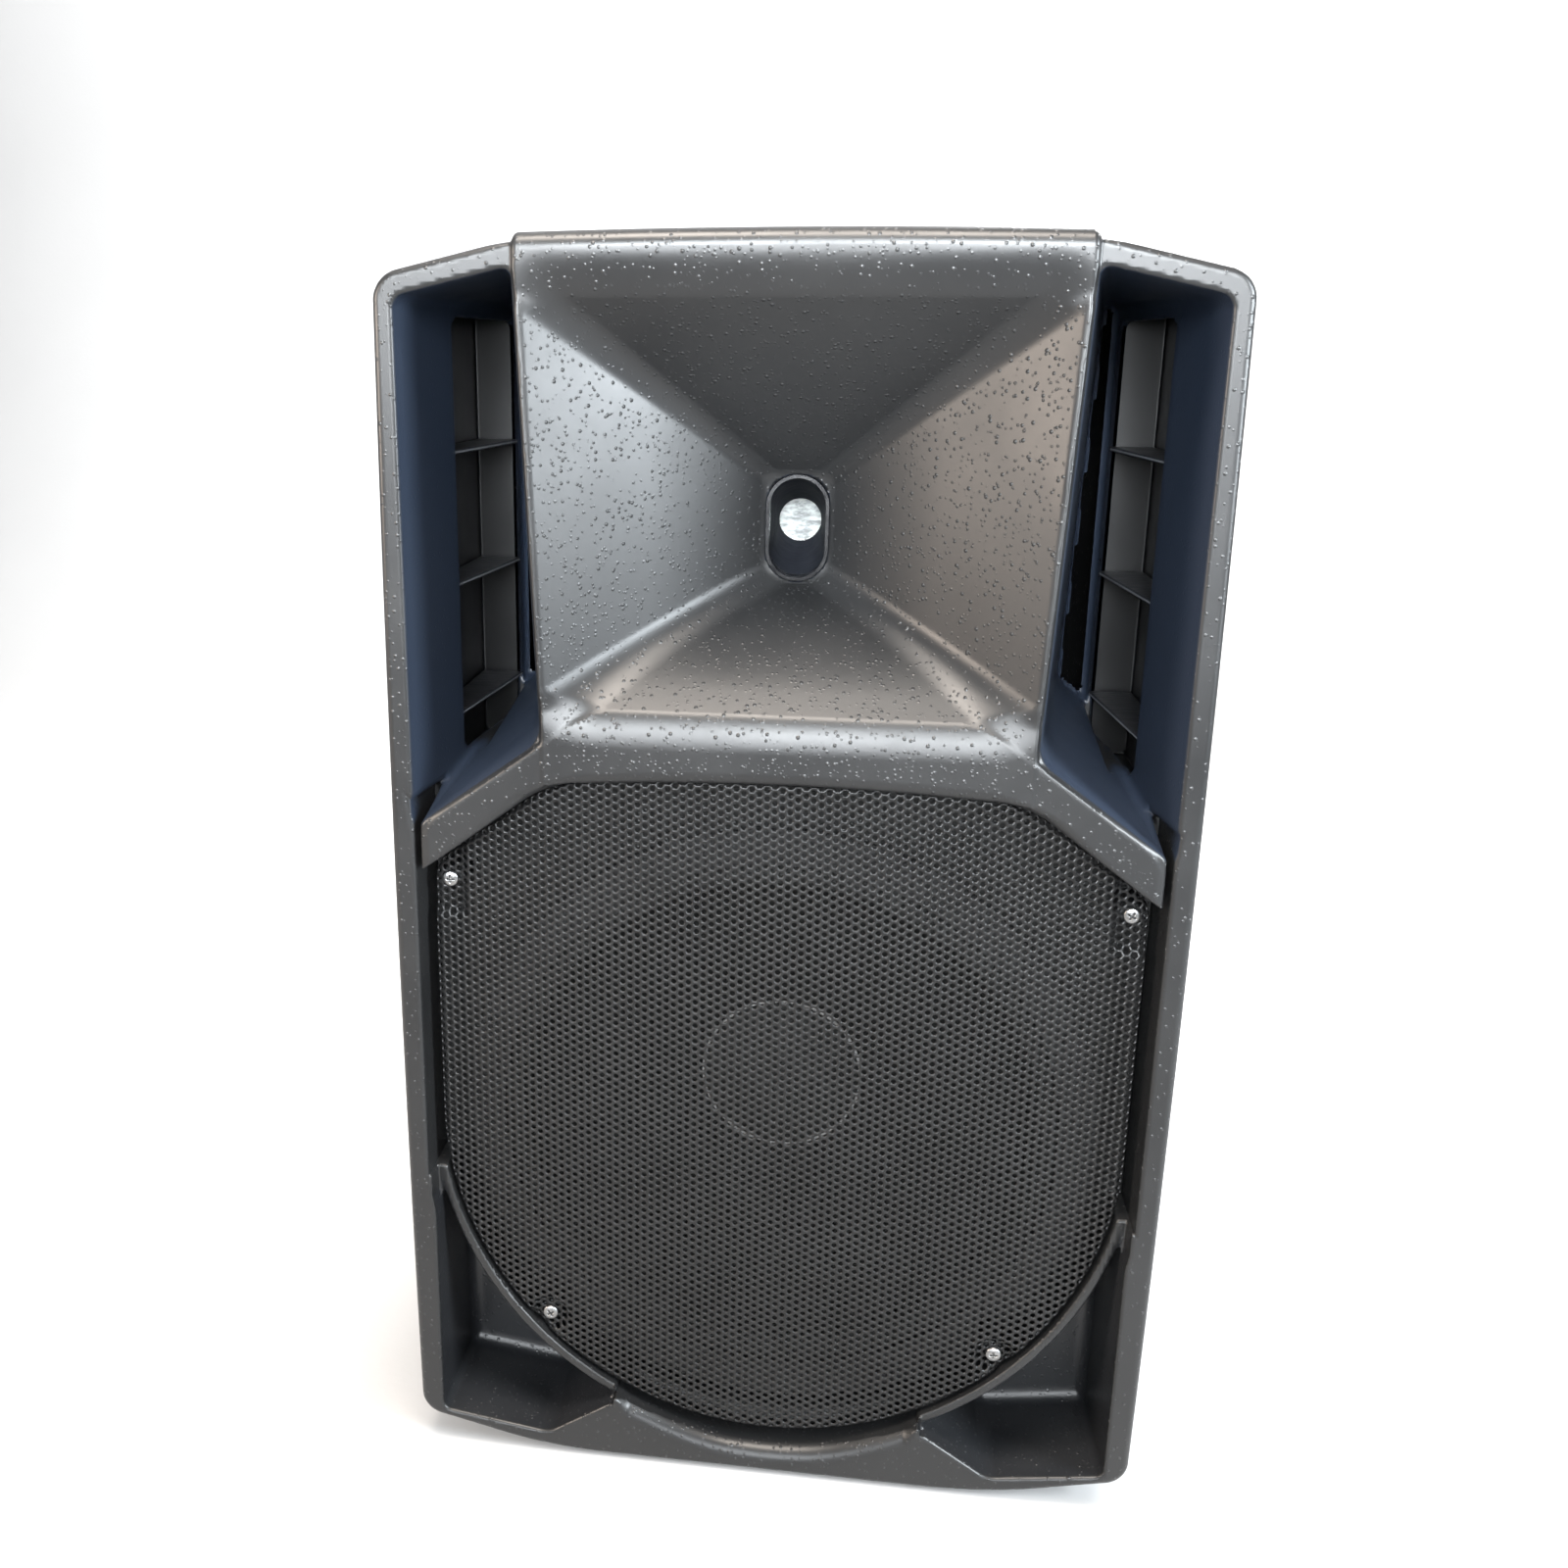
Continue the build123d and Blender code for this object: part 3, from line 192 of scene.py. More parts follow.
# Fittings of both mouldings
FITTING_GAP = 0.3
FLANGE_SINK = 1.5
HANDLE_CORNER = 14.0
HANDLE_FLANGE = 10.5
CUP_CORNER = 12.0
POLE_TUBE_R = 22.3
INSERT_R = 9.0
INSERT_HOLE_R = 9.15
INSERT_DEPTH = 19.0
BACK_INSERT_Z = 560.0
SHELL_SCREW_XS = (34, 92)
SHELL_SCREW_ZS = (14, 710)
SCREW_WELL_R = 5.2
SCREW_WELL_END = 216.0
SCREW_TUBE_R = 8.0
PANEL_GAP = 0.5
PANEL_LEDGE = 7.0


# Rounded solids: a solid is a function of x, d and z that gives the distance to its surface in
# millimetres, negative inside

def beyond(x, z, start, end):
    """Distance to the line from start to end, negative on its left."""
    run, rise = end[0] - start[0], end[1] - start[1]
    return ((x - start[0]) * rise - (z - start[1]) * run) / math.hypot(run, rise)


def union(a, b, r):
    """Both solids together, with a fillet of radius r between them."""
    return np.maximum(r, np.minimum(a, b)) - np.hypot(np.maximum(r - a, 0), np.maximum(r - b, 0))


def common(a, b, r):
    """What two solids share, with the edge between them rounded to radius r."""
    return np.minimum(-r, np.maximum(a, b)) + np.hypot(np.maximum(r + a, 0), np.maximum(r + b, 0))


def carve(solid, cavity, r):
    """The solid without the cavity, with the edge between them rounded to radius r."""
    return common(solid, -cavity, r)


def block(*sides):
    """Sharp-edged solid that the given surfaces share."""
    solid = sides[0]
    for side in sides[1:]:
        solid = np.maximum(solid, side)
    return solid


def between(value, low, high):
    """Distance to the nearer of two limits, negative between them."""
    return np.maximum(low - value, value - high)


def step(value, low, high):
    """0 below low, 1 above high, and smooth between."""
    t = np.clip((value - low) / (high - low), 0, 1)
    return t * t * (3 - 2 * t)


def grille_depth(x):
    """Depth of the grille's face, which is bent about an upright axis."""
    return GRILLE_FRONT + GRILLE_BEND_R - np.sqrt(GRILLE_BEND_R ** 2 - x ** 2)


def block_side(z):
    """Half width of the horn block, which narrows downwards."""
    share = np.clip((z - BLOCK_FOOT_Z) / (MOUTH_TOP - BLOCK_FOOT_Z), 0, 1)
    return BLOCK_LOW_HALF + (BLOCK_HALF - BLOCK_LOW_HALF) * share


def outline(x, z, half_width, shoulder, base_half, barrel):
    """Front view of the cabinet: crowned sides, sloping shoulders and cut lower corners."""
    side = x - (half_width - barrel * ((z - BARREL_Z) / BARREL_Z) ** 2)
    top_angle = np.arctan2(CORNER, half_width - shoulder)
    top = (z - BODY_TOP) * np.cos(top_angle) + (x - shoulder) * np.sin(top_angle)
    corner_angle = np.arctan2(CORNER, half_width - base_half)
    corner = -z * np.cos(corner_angle) + (x - base_half) * np.sin(corner_angle)
    shape = common(side, common(top, z - BODY_TOP, 4), CORNER_R)
    return common(common(shape, corner, CORNER_R), -z, 6)


def horn_block(x, d, z):
    """Block round the horn's mouth, a little proud of the wings, with a rolled upper lip."""
    top = z - (BLOCK_TOP - BLOCK_CROWN * (x / BLOCK_HALF) ** 2)
    rolled = common(top, -d, BLOCK_ROLL_R)
    return block(common(rolled, x - block_side(z), 3), BLOCK_BASE_Z - z)


def diagonal_bar(x, d, z):
    """Sloping bar between the horn block and the wing, with a rounded tip."""
    front = 3 * np.clip((x - 125) / 75, 0, 1) - d
    face = common(beyond(x, z, BAR_TOP[1], BAR_TOP[0]), x - BAR_TIP_X, 8)
    return block(common(face, front, 3 + 3 * step(x, 188, 203)), BAR_BASE_Z - z)


def flat_wall_x(d):
    """Where the back part of the channel's outer wall stands."""
    return CHANNEL_X - CHANNEL_STEP - CHANNEL_FLAT * d


def channel_wall(x, d):
    """Outer wall of the channel: negative on the channel's side."""
    return np.minimum(x - (CHANNEL_X - CHANNEL_STEEP * d), x - flat_wall_x(d))


def channel(x, d, z):
    """Deep upright channel between the horn block and the wing."""
    inner = block_side(z) + BLOCK_DRAFT * d - x
    top = beyond(x, z, *CHANNEL_TOP) + 0.02 * d
    low = beyond(x, z, *BAR_TOP) + BAR_DRAFT * d
    space = common(inner, channel_wall(x, d), 5)
    space = common(common(space, top, 6), low, 7)
    return common(space, d - CHANNEL_END, 6)


def port(x, d, z):
    """Window in the channel's outer wall."""
    middle = (PORT_DEPTHS[0] + PORT_DEPTHS[1]) / 2
    half = (PORT_DEPTHS[1] - PORT_DEPTHS[0]) / 2
    across = np.abs(d - middle) - half
    upright = np.abs(z - (PORT_LOW + PORT_HIGH) / 2) - (PORT_HIGH - PORT_LOW) / 2
    return block(common(across, upright, PORT_CORNER), PORT_XS[0] - x, x - PORT_XS[1])


def port_space(x, d, z):
    """Air behind the port window."""
    across = block(PORT_SPACE_WALL - channel_wall(x, d), x - HALF_WIDTH + WALL)
    return block(across, between(d, *PORT_SPACE_DEPTHS), between(z, *PORT_SPACE_ZS))


def horn(x, d, z):
    """Air inside the horn: slanted walls that meet in soft valleys and end at the upright slot."""
    share = d / THROAT_DEPTH
    mouth = MOUTH_LOW_HALF + (MOUTH_HALF - MOUTH_LOW_HALF) * (z - MOUTH_LOW) / (MOUTH_TOP - MOUTH_LOW)
    side = (x - (1 - share) * mouth - share * THROAT_HALF) * SIDE_COS
    slope = (MOUTH_TOP - HORN_Z - THROAT_HALF_HEIGHT) / THROAT_DEPTH
    top = (z - MOUTH_TOP + slope * d) * TOP_COS
    steep = (MOUTH_LOW + STEEP_FLOOR * d - z) * STEEP_COS
    flat = (MOUTH_LOW + STEEP_FLOOR * FLOOR_KINK + FLAT_FLOOR * (d - FLOOR_KINK) - z) * FLAT_COS
    floor = union(steep, flat, 6)
    valley = 17 - 5 * np.clip(share, 0, 1)
    space = common(common(side, top, valley - 6), floor, valley)
    return common(space, d - THROAT_DEPTH, 3)


def throat_slot(x, z):
    """Upright slot with round ends."""
    straight = THROAT_HALF_HEIGHT - THROAT_HALF
    return np.hypot(x, np.maximum(np.abs(z - HORN_Z) - straight, 0)) - THROAT_HALF


def woofer_radius(x, z):
    return np.hypot(x, z - WOOFER_Z)


def ring_radius(x, z):
    return np.hypot(x, z - GRILLE_Z)


def grille_top(x):
    """Height of the grille's arched upper edge."""
    return GRILLE_TOP[1][1] + GRILLE_ARCH * (1 - (x / GRILLE_TOP[1][0]) ** 2)


def recess(x, d, z):
    """Space that holds the grille, with a dark gap beside it."""
    chamfer = beyond(x, z, *GRILLE_TOP) - RECESS_GAP
    upper = common(common(chamfer, z - grille_top(x) - RECESS_GAP, 8), x - RECESS_X, 3)
    upper = block(upper, RECESS_UPPER_Z - z)
    gap = block(between(x, SIDE_GAP_X, RECESS_X), between(z, *SIDE_GAP_ZS))
    lower = ring_radius(x, z) - GRILLE_R - RECESS_LOW_GAP
    return block(np.minimum(np.minimum(upper, gap), lower), d - BAFFLE_DEPTH)


def ring_front(x, d, z):
    """Space in front of the ring round the grille's lower half."""
    ring = np.abs(ring_radius(x, z) - RING_MIDDLE_R) - RING_HALF_WIDTH
    across = block(x - POCKET_X - 1.5, POCKET_TIP[0] + 2 - x)
    return block(ring, d - grille_depth(x) + RING_STEP, z - RING_TOP_Z, across)


def pocket(x, d, z):
    """Corner pocket outside the ring."""
    outside = RING_R - ring_radius(x, z)
    space = common(outside, x - POCKET_X + POCKET_SIDE_DRAFT * d, 3)
    space = common(space, beyond(x, z, POCKET_LOW, POCKET_CORNER) + POCKET_DRAFT * d, 5)
    space = common(space, beyond(x, z, POCKET_TIP, POCKET_LOW) + POCKET_DRAFT * d, 4)
    return block(common(space, d - POCKET_DEPTH, 8), z - WOOFER_Z)


def scoop(x, d, z):
    """Hollow under the grille's lowest edge."""
    under = ring_radius(x, z) - SCOOP_R + 5 * step(x, 20, POCKET_TIP[0])
    return block(under, x - POCKET_TIP[0], d - SCOOP_DEPTH, z - SCOOP_TOP_Z)


def rounded_square(a, b, r):
    """Flat distance to a rectangle with rounded corners, from the distances a and b to its sides."""
    return np.hypot(np.maximum(a + r, 0), np.maximum(b + r, 0)) + np.minimum(np.maximum(a, b) + r, 0) - r


def handle_space(x, d, z, node, sideways):
    """Recess for a handle's flange and the hole for its cup."""
    low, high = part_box(node)
    middle_d = (depth_of(low.y) + depth_of(high.y)) / 2
    half_d = (high.y - low.y) * 500
    if sideways:
        half_w, middle_w = (high.z - low.z) * 500, (height_of(low.z) + height_of(high.z)) / 2
        across, top = np.abs(z - middle_w) - half_w, abs(high.x) * 1000
        sunk, bottom = (top - FLANGE_SINK) - x, abs(low.x) * 1000 - x
    else:
        half_w = high.x * 1000
        across, top = x - half_w, height_of(high.z)
        sunk, bottom = (top - FLANGE_SINK) - z, height_of(low.z) - z
    along = np.abs(d - middle_d) - half_d
    flange = block(rounded_square(across - FITTING_GAP, along - FITTING_GAP, HANDLE_CORNER), sunk)
    cup = block(rounded_square(across + HANDLE_FLANGE, along + HANDLE_FLANGE, CUP_CORNER), bottom)
    return np.minimum(flange, cup)


def cylinder_z(x, d, z, centre, radius, low, high):
    """Upright cylinder from low to high, with its centre as (x, depth)."""
    return block(np.hypot(x - centre[0], d - centre[1]) - radius, between(z, low, high))


def front_fittings(x, d, z):
    """Openings for handles, stand socket and rigging inserts."""
    spaces = handle_space(x, d, z, "top_handle", False)
    spaces = np.minimum(spaces, handle_space(x, d, z, "side_handle_right", True))
    low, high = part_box("pole_socket")
    centre = (0, depth_of((low.y + high.y) / 2))
    flange_r = (high.x - low.x) * 500
    spaces = np.minimum(spaces, cylinder_z(x, d, z, centre, flange_r + FITTING_GAP, -5, 3))
    spaces = np.minimum(spaces, cylinder_z(x, d, z, centre, POLE_TUBE_R, -5, height_of(high.z)))
    low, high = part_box("rigging_inserts")
    centre = (high.x * 1000 - INSERT_R, depth_of(low.y) + INSERT_R)
    insert = cylinder_z(x, d, z, centre, INSERT_HOLE_R, BODY_TOP - INSERT_DEPTH, BODY_TOP + 5)
    return np.minimum(spaces, insert)


def front_moulding(x, d, z):
    """Front half with horn, channels, ports, recess, pockets and the openings for its fittings."""
    x = np.abs(x)
    body = outline(x, z, HALF_WIDTH, BLOCK_HALF, BASE_HALF, BARREL)
    body = common(body, WING_FRONT - d, 1.5 + 2.5 * step(z, 4, 18))
    body = union(body, horn_block(x, d, z), 1.5)
    body = union(body, diagonal_bar(x, d, z), 1.5)
    body = carve(body, channel(x, d, z), EDGE_R)
    body = carve(body, port(x, d, z), 1)
    body = block(body, -port_space(x, d, z))
    top_lip = TOP_LIP_R * step(z + TOP_LIP_SLOPE * d, *TOP_LIP_STEP)
    low_lip = LOW_LIP_R * step(STEEP_FLOOR * d - z, *LOW_LIP_STEP)
    body = carve(body, horn(x, d, z), EDGE_R + top_lip + low_lip)
    slot = block(throat_slot(x, z), between(d, THROAT_DEPTH - 5, THROAT_DEPTH + 20))
    body = carve(body, slot, FITTING_EDGE_R)
    body = carve(body, recess(x, d, z), EDGE_R + RECESS_LIP_R * step(z, *RECESS_LIP_STEP))
    body = carve(body, ring_front(x, d, z), 1.2)
    body = carve(body, pocket(x, d, z), EDGE_R)
    body = carve(body, scoop(x, d, z), 2 + 8 * (1 - step(x, 84, 93)))
    for place in SCREW_PLACES:
        length = between(d, grille_depth(place[0]) + 5, BAFFLE_DEPTH + 1)
        body = np.minimum(body, block(np.hypot(x - place[0], z - place[1]) - SCREW_POST_R, length))
    body = block(body, -block(woofer_radius(x, z) - BORE_R, between(d, *BORE_DEPTHS)))
    body = block(body, -block(np.hypot(x, z - HORN_Z) - DRIVER_SPACE_R, between(d, *DRIVER_DEPTHS)))
    body = carve(body, front_fittings(x, d, z), FITTING_EDGE_R)
    return block(body, d - JOINT_FRONT)


def rear_outline(x, d, z):
    """Outline of the back half, which tapers backwards."""
    share = (d - JOINT_BACK) / (CABINET_DEPTH - JOINT_BACK)
    narrow = BACK_HALF_WIDTH / HALF_WIDTH
    scale = 1 + (narrow - 1) * share
    half_width = HALF_WIDTH * scale
    base_half = BASE_HALF * (1 - BASE_TAPER * share)
    return outline(x, z, half_width, BLOCK_HALF * scale, base_half, BARREL * (1 - share))


def panel_opening(x, z, grown):
    """Rectangle of the amplifier panel, grown on every side."""
    upright = between(z, height_of(PANEL_LOW.z) - grown, height_of(PANEL_HIGH.z) + grown)
    return block(x - PANEL_HIGH.x * 1000 - grown, upright)


def rear_space(x, d, z):
    """Air inside the back half, round the well of the panel and the tubes of the joint screws."""
    space = block(rear_outline(x, d, z) + WALL, d - CABINET_DEPTH + WALL)
    space = block(space, -block(panel_opening(x, z, WALL), depth_of(PANEL_LOW.y) - WALL - d))
    upright = np.minimum(np.abs(z - SHELL_SCREW_ZS[0]), np.abs(z - SHELL_SCREW_ZS[1]))
    for screw_x in SHELL_SCREW_XS:
        space = block(space, SCREW_TUBE_R - np.hypot(x - screw_x, upright))
    return space


def rear_moulding(x, d, z):
    """Tapered back half with the well for the amplifier panel and the wells of the joint screws."""
    x = np.abs(x)
    body = common(rear_outline(x, d, z), d - CABINET_DEPTH, BACK_EDGE_R)
    body = carve(body, block(panel_opening(x, z, PANEL_GAP), depth_of(PANEL_LOW.y) - d), PANEL_EDGE_R)
    body = block(body, -rear_space(x, d, z))
    body = block(body, -block(panel_opening(x, z, -PANEL_LEDGE), d - depth_of(PANEL_HIGH.y)))
    for screw_z in SHELL_SCREW_ZS:
        for screw_x in SHELL_SCREW_XS:
            hole = block(np.hypot(x - screw_x, z - screw_z) - SCREW_WELL_R, SCREW_WELL_END - d)
            body = carve(body, hole, 0.8)
    insert = block(np.hypot(x, z - BACK_INSERT_Z) - INSERT_HOLE_R, CABINET_DEPTH - INSERT_DEPTH - d)
    body = carve(body, insert, FITTING_EDGE_R)
    return block(body, JOINT_BACK - d)


# Surfaces of the rounded solids

def slope_of(solid, points, small=0.05):
    """Value and direction of steepest rise of a solid's distance at each point."""
    value = solid(*points.T)
    rises = []
    for axis in range(3):
        shift = np.zeros(3)
        shift[axis] = small
        rises.append((solid(*(points + shift).T) - solid(*(points - shift).T)) / (2 * small))
    return value, np.stack(rises, 1)


def cell_points(values, lines):
    """One point in each grid cell that the surface crosses, in the middle of its crossings."""
    shape = tuple(n - 1 for n in values.shape)
    total = np.zeros(shape + (3,))
    count = np.zeros(shape)
    grids = np.meshgrid(*lines, indexing="ij")
    for axis in range(3):
        low = [slice(None)] * 3
        high = [slice(None)] * 3
        low[axis] = slice(None, -1)
        high[axis] = slice(1, None)
        a, b = values[tuple(low)], values[tuple(high)]
        crossed = (a < 0) != (b < 0)
        share = np.where(crossed, a / np.where(crossed, a - b, 1), 0)
        place = []
        for other in range(3):
            near, far = grids[other][tuple(low)], grids[other][tuple(high)]
            place.append(near + share * (far - near))
        first, second = [k for k in range(3) if k != axis]
        for shift_a in (0, 1):
            for shift_b in (0, 1):
                part = [slice(None)] * 3
                part[first] = slice(shift_a, crossed.shape[first] - 1 + shift_a)
                part[second] = slice(shift_b, crossed.shape[second] - 1 + shift_b)
                hit = crossed[tuple(part)]
                count += hit
                for other in range(3):
                    total[..., other] += np.where(hit, place[other][tuple(part)], 0)
    used = count > 0
    number = np.full(shape, -1)
    number[used] = np.arange(used.sum())
    return total[used] / count[used][:, None], number


def cell_faces(values, number):
    """Four-cornered faces round every grid edge that the surface crosses."""
    faces = []
    for axis in range(3):
        low = [slice(1, -1)] * 3
        high = [slice(1, -1)] * 3
        low[axis] = slice(None, -1)
        high[axis] = slice(1, None)
        a, b = values[tuple(low)], values[tuple(high)]
        first, second = (axis + 1) % 3, (axis + 2) % 3
        around = []
        for shift_a, shift_b in ((0, 0), (1, 0), (1, 1), (0, 1)):
            part = [slice(None)] * 3
            part[first] = slice(shift_a, number.shape[first] - 1 + shift_a)
            part[second] = slice(shift_b, number.shape[second] - 1 + shift_b)
            around.append(number[tuple(part)])
        rising = (a < 0) & (b >= 0)
        falling = (a >= 0) & (b < 0)
        faces.append(np.stack([corner[rising] for corner in around], 1))
        faces.append(np.stack([corner[falling] for corner in around[::-1]], 1))
    return np.concatenate(faces)


def moulded_surface(solid, d_lines, z_lines, pitch):
    """Points, outward directions and faces of a solid that is the same left and right."""
    x_lines = np.arange(-pitch / 2, HALF_WIDTH + 2 * pitch, pitch)
    lines = (x_lines, d_lines, z_lines)
    values = solid(*np.meshgrid(*lines, indexing="ij", sparse=True))
    points, number = cell_points(values, lines)
    faces = cell_faces(values, number)
    middle = points[:, 0] < pitch / 2
    for turn in range(3):
        value, rise = slope_of(solid, points)
        length = np.maximum((rise ** 2).sum(1), 0.2)
        points -= np.clip(value / length, -0.6, 0.6)[:, None] * rise
        points[middle, 0] = 0
    points[:, 1] = np.clip(points[:, 1], 0, CABINET_DEPTH)
    rise = slope_of(solid, points)[1]
    rise[middle, 0] = 0
    normals = rise / np.maximum(np.linalg.norm(rise, axis=1), 1e-6)[:, None]
    flip = np.array([-1, 1, 1])
    twin = np.arange(len(points)) + len(points)
    twin[middle] = np.flatnonzero(middle)
    points = np.concatenate([points, points * flip])
    normals = np.concatenate([normals, normals * flip])
    faces = np.concatenate([faces, twin[faces][:, ::-1]])
    return points, normals, faces


def to_metres(points):
    """From (x, depth, height) in millimetres to the row frame in metres."""
    return np.stack([points[:, 0] / 1000, points[:, 1] / 1000 + RIM_Y, points[:, 2] / 1000 + BASE_Z], 1)


def add_object(name, data):
    """New object in the scene for a mesh, light or camera."""
    thing = bpy.data.objects.new(name, data)
    bpy.context.scene.collection.objects.link(thing)
    return thing


def make_object(name, points, faces, material, normals=None, values=None):
    """Mesh object from points in metres. values holds one number per point for each attribute name."""
    mesh = bpy.data.meshes.new(name)
    mesh.from_pydata([tuple(p) for p in points], [], [tuple(int(i) for i in f) for f in faces])
    mesh.shade_smooth()
    for key, numbers in (values or {}).items():
        mesh.attributes.new(key, "FLOAT", "POINT").data.foreach_set("value", numbers.astype(np.float32))
    if normals is not None:
        mesh.normals_split_custom_set_from_vertices([tuple(n) for n in normals])
    mesh.materials.append(material)
    return add_object(name, mesh)


def part_of(points, normals, faces, keep):
    """The faces that keep names, with only the points that they use."""
    faces = faces[keep]
    used, places = np.unique(faces, return_inverse=True)
    return points[used], normals[used], places.reshape(faces.shape)


def build_moulding(name, node, solid, d_lines, cuts, grain_and_painted_light):
    """The moulding in stacked pieces, cut at the given heights, each small enough to export whole."""
    z_lines = np.arange(-1.3, BLOCK_TOP + 3, PITCH)
    points, normals, faces = moulded_surface(solid, d_lines, z_lines, PITCH)
    middle_z = points[faces][:, :, 2].mean(1)
    for number, (low, high) in enumerate(zip(cuts, cuts[1:]), 1):
        part = part_of(points, normals, faces, (middle_z >= low) & (middle_z < high))
        values = {"grain_and_painted_light": grain_and_painted_light(*part[0].T)}
        piece = make_object(f"{name}_{number}", to_metres(part[0]), part[2], GRAINED, part[1], values)
        # Faces deep in the throat slot get a near-black material with little specular: painted shade
        piece.data.materials.append(PAINTED_SHADE_INSIDE)
        x, d, z = part[0][part[2]].mean(1).T
        dark = block(throat_slot(x, z), between(d, THROAT_DEPTH, THROAT_DEPTH + 25)) < 1
        piece.data.polygons.foreach_set("material_index", dark.astype(np.int32))
        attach(piece, "cabinet")
        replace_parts(piece, node)


def front_grain_and_painted_light(x, d, z):
    """Strength of the droplet grain, which also carries painted light: full outside, faint in the channels,
    none behind the ports. Where it is faint, the channels, and a little the pockets, are painted a paler
    navy; where it is none, the walls behind the ports are painted near-black shade.
    """
    x = np.abs(x)
    channels = 1 - step(channel(x, d, z), 1.5, 3)
    pockets = 1 - step(block(pocket(x, d, z), 3 - d), 1.5, 3)
    # Smooth share, which also sets the painted navy light in the channels and pockets
    smooth_and_painted_light = (0.82 * channels + 0.25 * pockets) * step(d, 3.5, 7)
    return (1 - smooth_and_painted_light) * step(port_space(x, d, z), 0.8, 2.5)


def rear_grain(x, d, z):
    """Full droplet grain everywhere."""
    return np.ones_like(x)


# Materials

class Nodes:
    """Short names for building a material's nodes."""

    def __init__(self, name, roughness=0.5, metallic=0.0):
        self.material = bpy.data.materials.new(name)
        self.material.use_nodes = True
        self.tree = self.material.node_tree
        self.shader = self.tree.nodes["Principled BSDF"]
        self.shader.inputs["Roughness"].default_value = roughness
        self.shader.inputs["Metallic"].default_value = metallic
        self.place = self.add("ShaderNodeTexCoord").outputs["Object"]

    def add(self, kind, **settings):
        node = self.tree.nodes.new(kind)
        for key, value in settings.items():
            setattr(node, key, value)
        return node

    def join(self, source, target):
        self.tree.links.new(source, target)

    def feed(self, node, values):
        for key, value in values.items():
            if isinstance(value, bpy.types.NodeSocket):
                self.join(value, node.inputs[key])
            else:
                node.inputs[key].default_value = value
        return node

    def maths(self, operation, a, b=0.0, clamp=False):
        node = self.add("ShaderNodeMath", operation=operation, use_clamp=clamp)
        return self.feed(node, {0: a, 1: b}).outputs[0]

    def noise(self, scale, detail=3.0, roughness=0.5, stretch=None):
        node = self.add("ShaderNodeTexNoise")
        place = self.place
        if stretch:
            mapping = self.feed(self.add("ShaderNodeMapping"), {"Vector": place, "Scale": stretch})
            place = mapping.outputs[0]
        self.feed(node, {"Vector": place, "Scale": scale, "Detail": detail, "Roughness": roughness})
        return node.outputs["Fac"]

    def ramp(self, value, low, high, start=0.0, end=1.0):
        node = self.add("ShaderNodeMapRange")
        self.feed(node, {"Value": value, "From Min": low, "From Max": high, "To Min": start, "To Max": end})
        return node.outputs[0]

    def mix(self, share, a, b):
        node = self.add("ShaderNodeMix", data_type="RGBA")
        self.feed(node, {0: share, 6: a, 7: b})
        return node.outputs[2]

    def bump(self, height, distance):
        node = self.add("ShaderNodeBump")
        return self.feed(node, {"Height": height, "Distance": distance, "Strength": 1.0}).outputs[0]

    def finish(self, colour=None, roughness=None, normal=None):
        if colour is not None:
            self.join(colour, self.shader.inputs["Base Color"])
        if roughness is not None:
            self.join(roughness, self.shader.inputs["Roughness"])
        if normal is not None:
            self.join(normal, self.shader.inputs["Normal"])
        return self.material


def colour(red, green, blue):
    return (red, green, blue, 1.0)


def droplets(n, scale, share, smallest, largest):
    """Height of scattered round droplets, each in its own cell, with radii given as shares of a cell."""
    cells = n.feed(n.add("ShaderNodeTexVoronoi"), {"Vector": n.place, "Scale": scale, "Randomness": 1.0})
    tint = n.feed(n.add("ShaderNodeSeparateColor"), {"Color": cells.outputs["Color"]})
    size = n.ramp(tint.outputs[0], 0, 1, smallest, largest)
    reach = n.maths("DIVIDE", cells.outputs["Distance"], size)
    dome = n.maths("SUBTRACT", 1.0, n.maths("POWER", reach, 2.0), True)
    dome = n.maths("POWER", dome, 1.6)
    present = n.maths("GREATER_THAN", tint.outputs[1], 1 - share)
    return n.maths("MULTIPLY", n.maths("MULTIPLY", dome, present), n.ramp(tint.outputs[0], 0, 1, 0.5, 1))


def moulded_plastic(name):
    """Black moulded polypropylene with scattered droplets over a fine grain, the droplets coloured a little
    paler. The grain also carries painted light: a paler navy in the channels and pockets, and near-black
    painted shade behind the ports.
    """
    n = Nodes(name)
    grain_and_painted_light = n.add("ShaderNodeAttribute", attribute_name="grain_and_painted_light").outputs["Fac"]
    small = n.maths("MULTIPLY", droplets(n, 380, 0.35, 0.25, 0.42), 0.5)
    drops = n.maths("MAXIMUM", droplets(n, 250, 0.95, 0.18, 0.31), small)
    drops = n.maths("MULTIPLY", drops, grain_and_painted_light)
    fine = n.noise(1500, 4, 0.6)
    patches = n.noise(14, 4, 0.6)
    height = n.maths("ADD", drops, n.maths("MULTIPLY", fine, 0.035))
    tone = n.mix(patches, colour(0.007, 0.0073, 0.008), colour(0.013, 0.0132, 0.0135))
    # Painted light: where the grain fades, in the channels and pockets, the colour turns a paler navy
    tone = n.mix(n.ramp(grain_and_painted_light, 0.1, 0.8), colour(0.016, 0.023, 0.038), tone)
    # Painted shade: where the grain is nearly gone, behind the ports, the colour turns near-black
    tone = n.mix(n.ramp(grain_and_painted_light, 0.02, 0.14), colour(0.001, 0.001, 0.0015), tone)
    tone = n.mix(n.maths("MULTIPLY", drops, 0.3), tone, colour(0.06, 0.061, 0.062))
    rough = n.maths("ADD", n.ramp(patches, 0.3, 0.7, 0.31, 0.39), n.maths("MULTIPLY", fine, 0.06))
    return n.finish(tone, rough, n.bump(height, 0.00042))


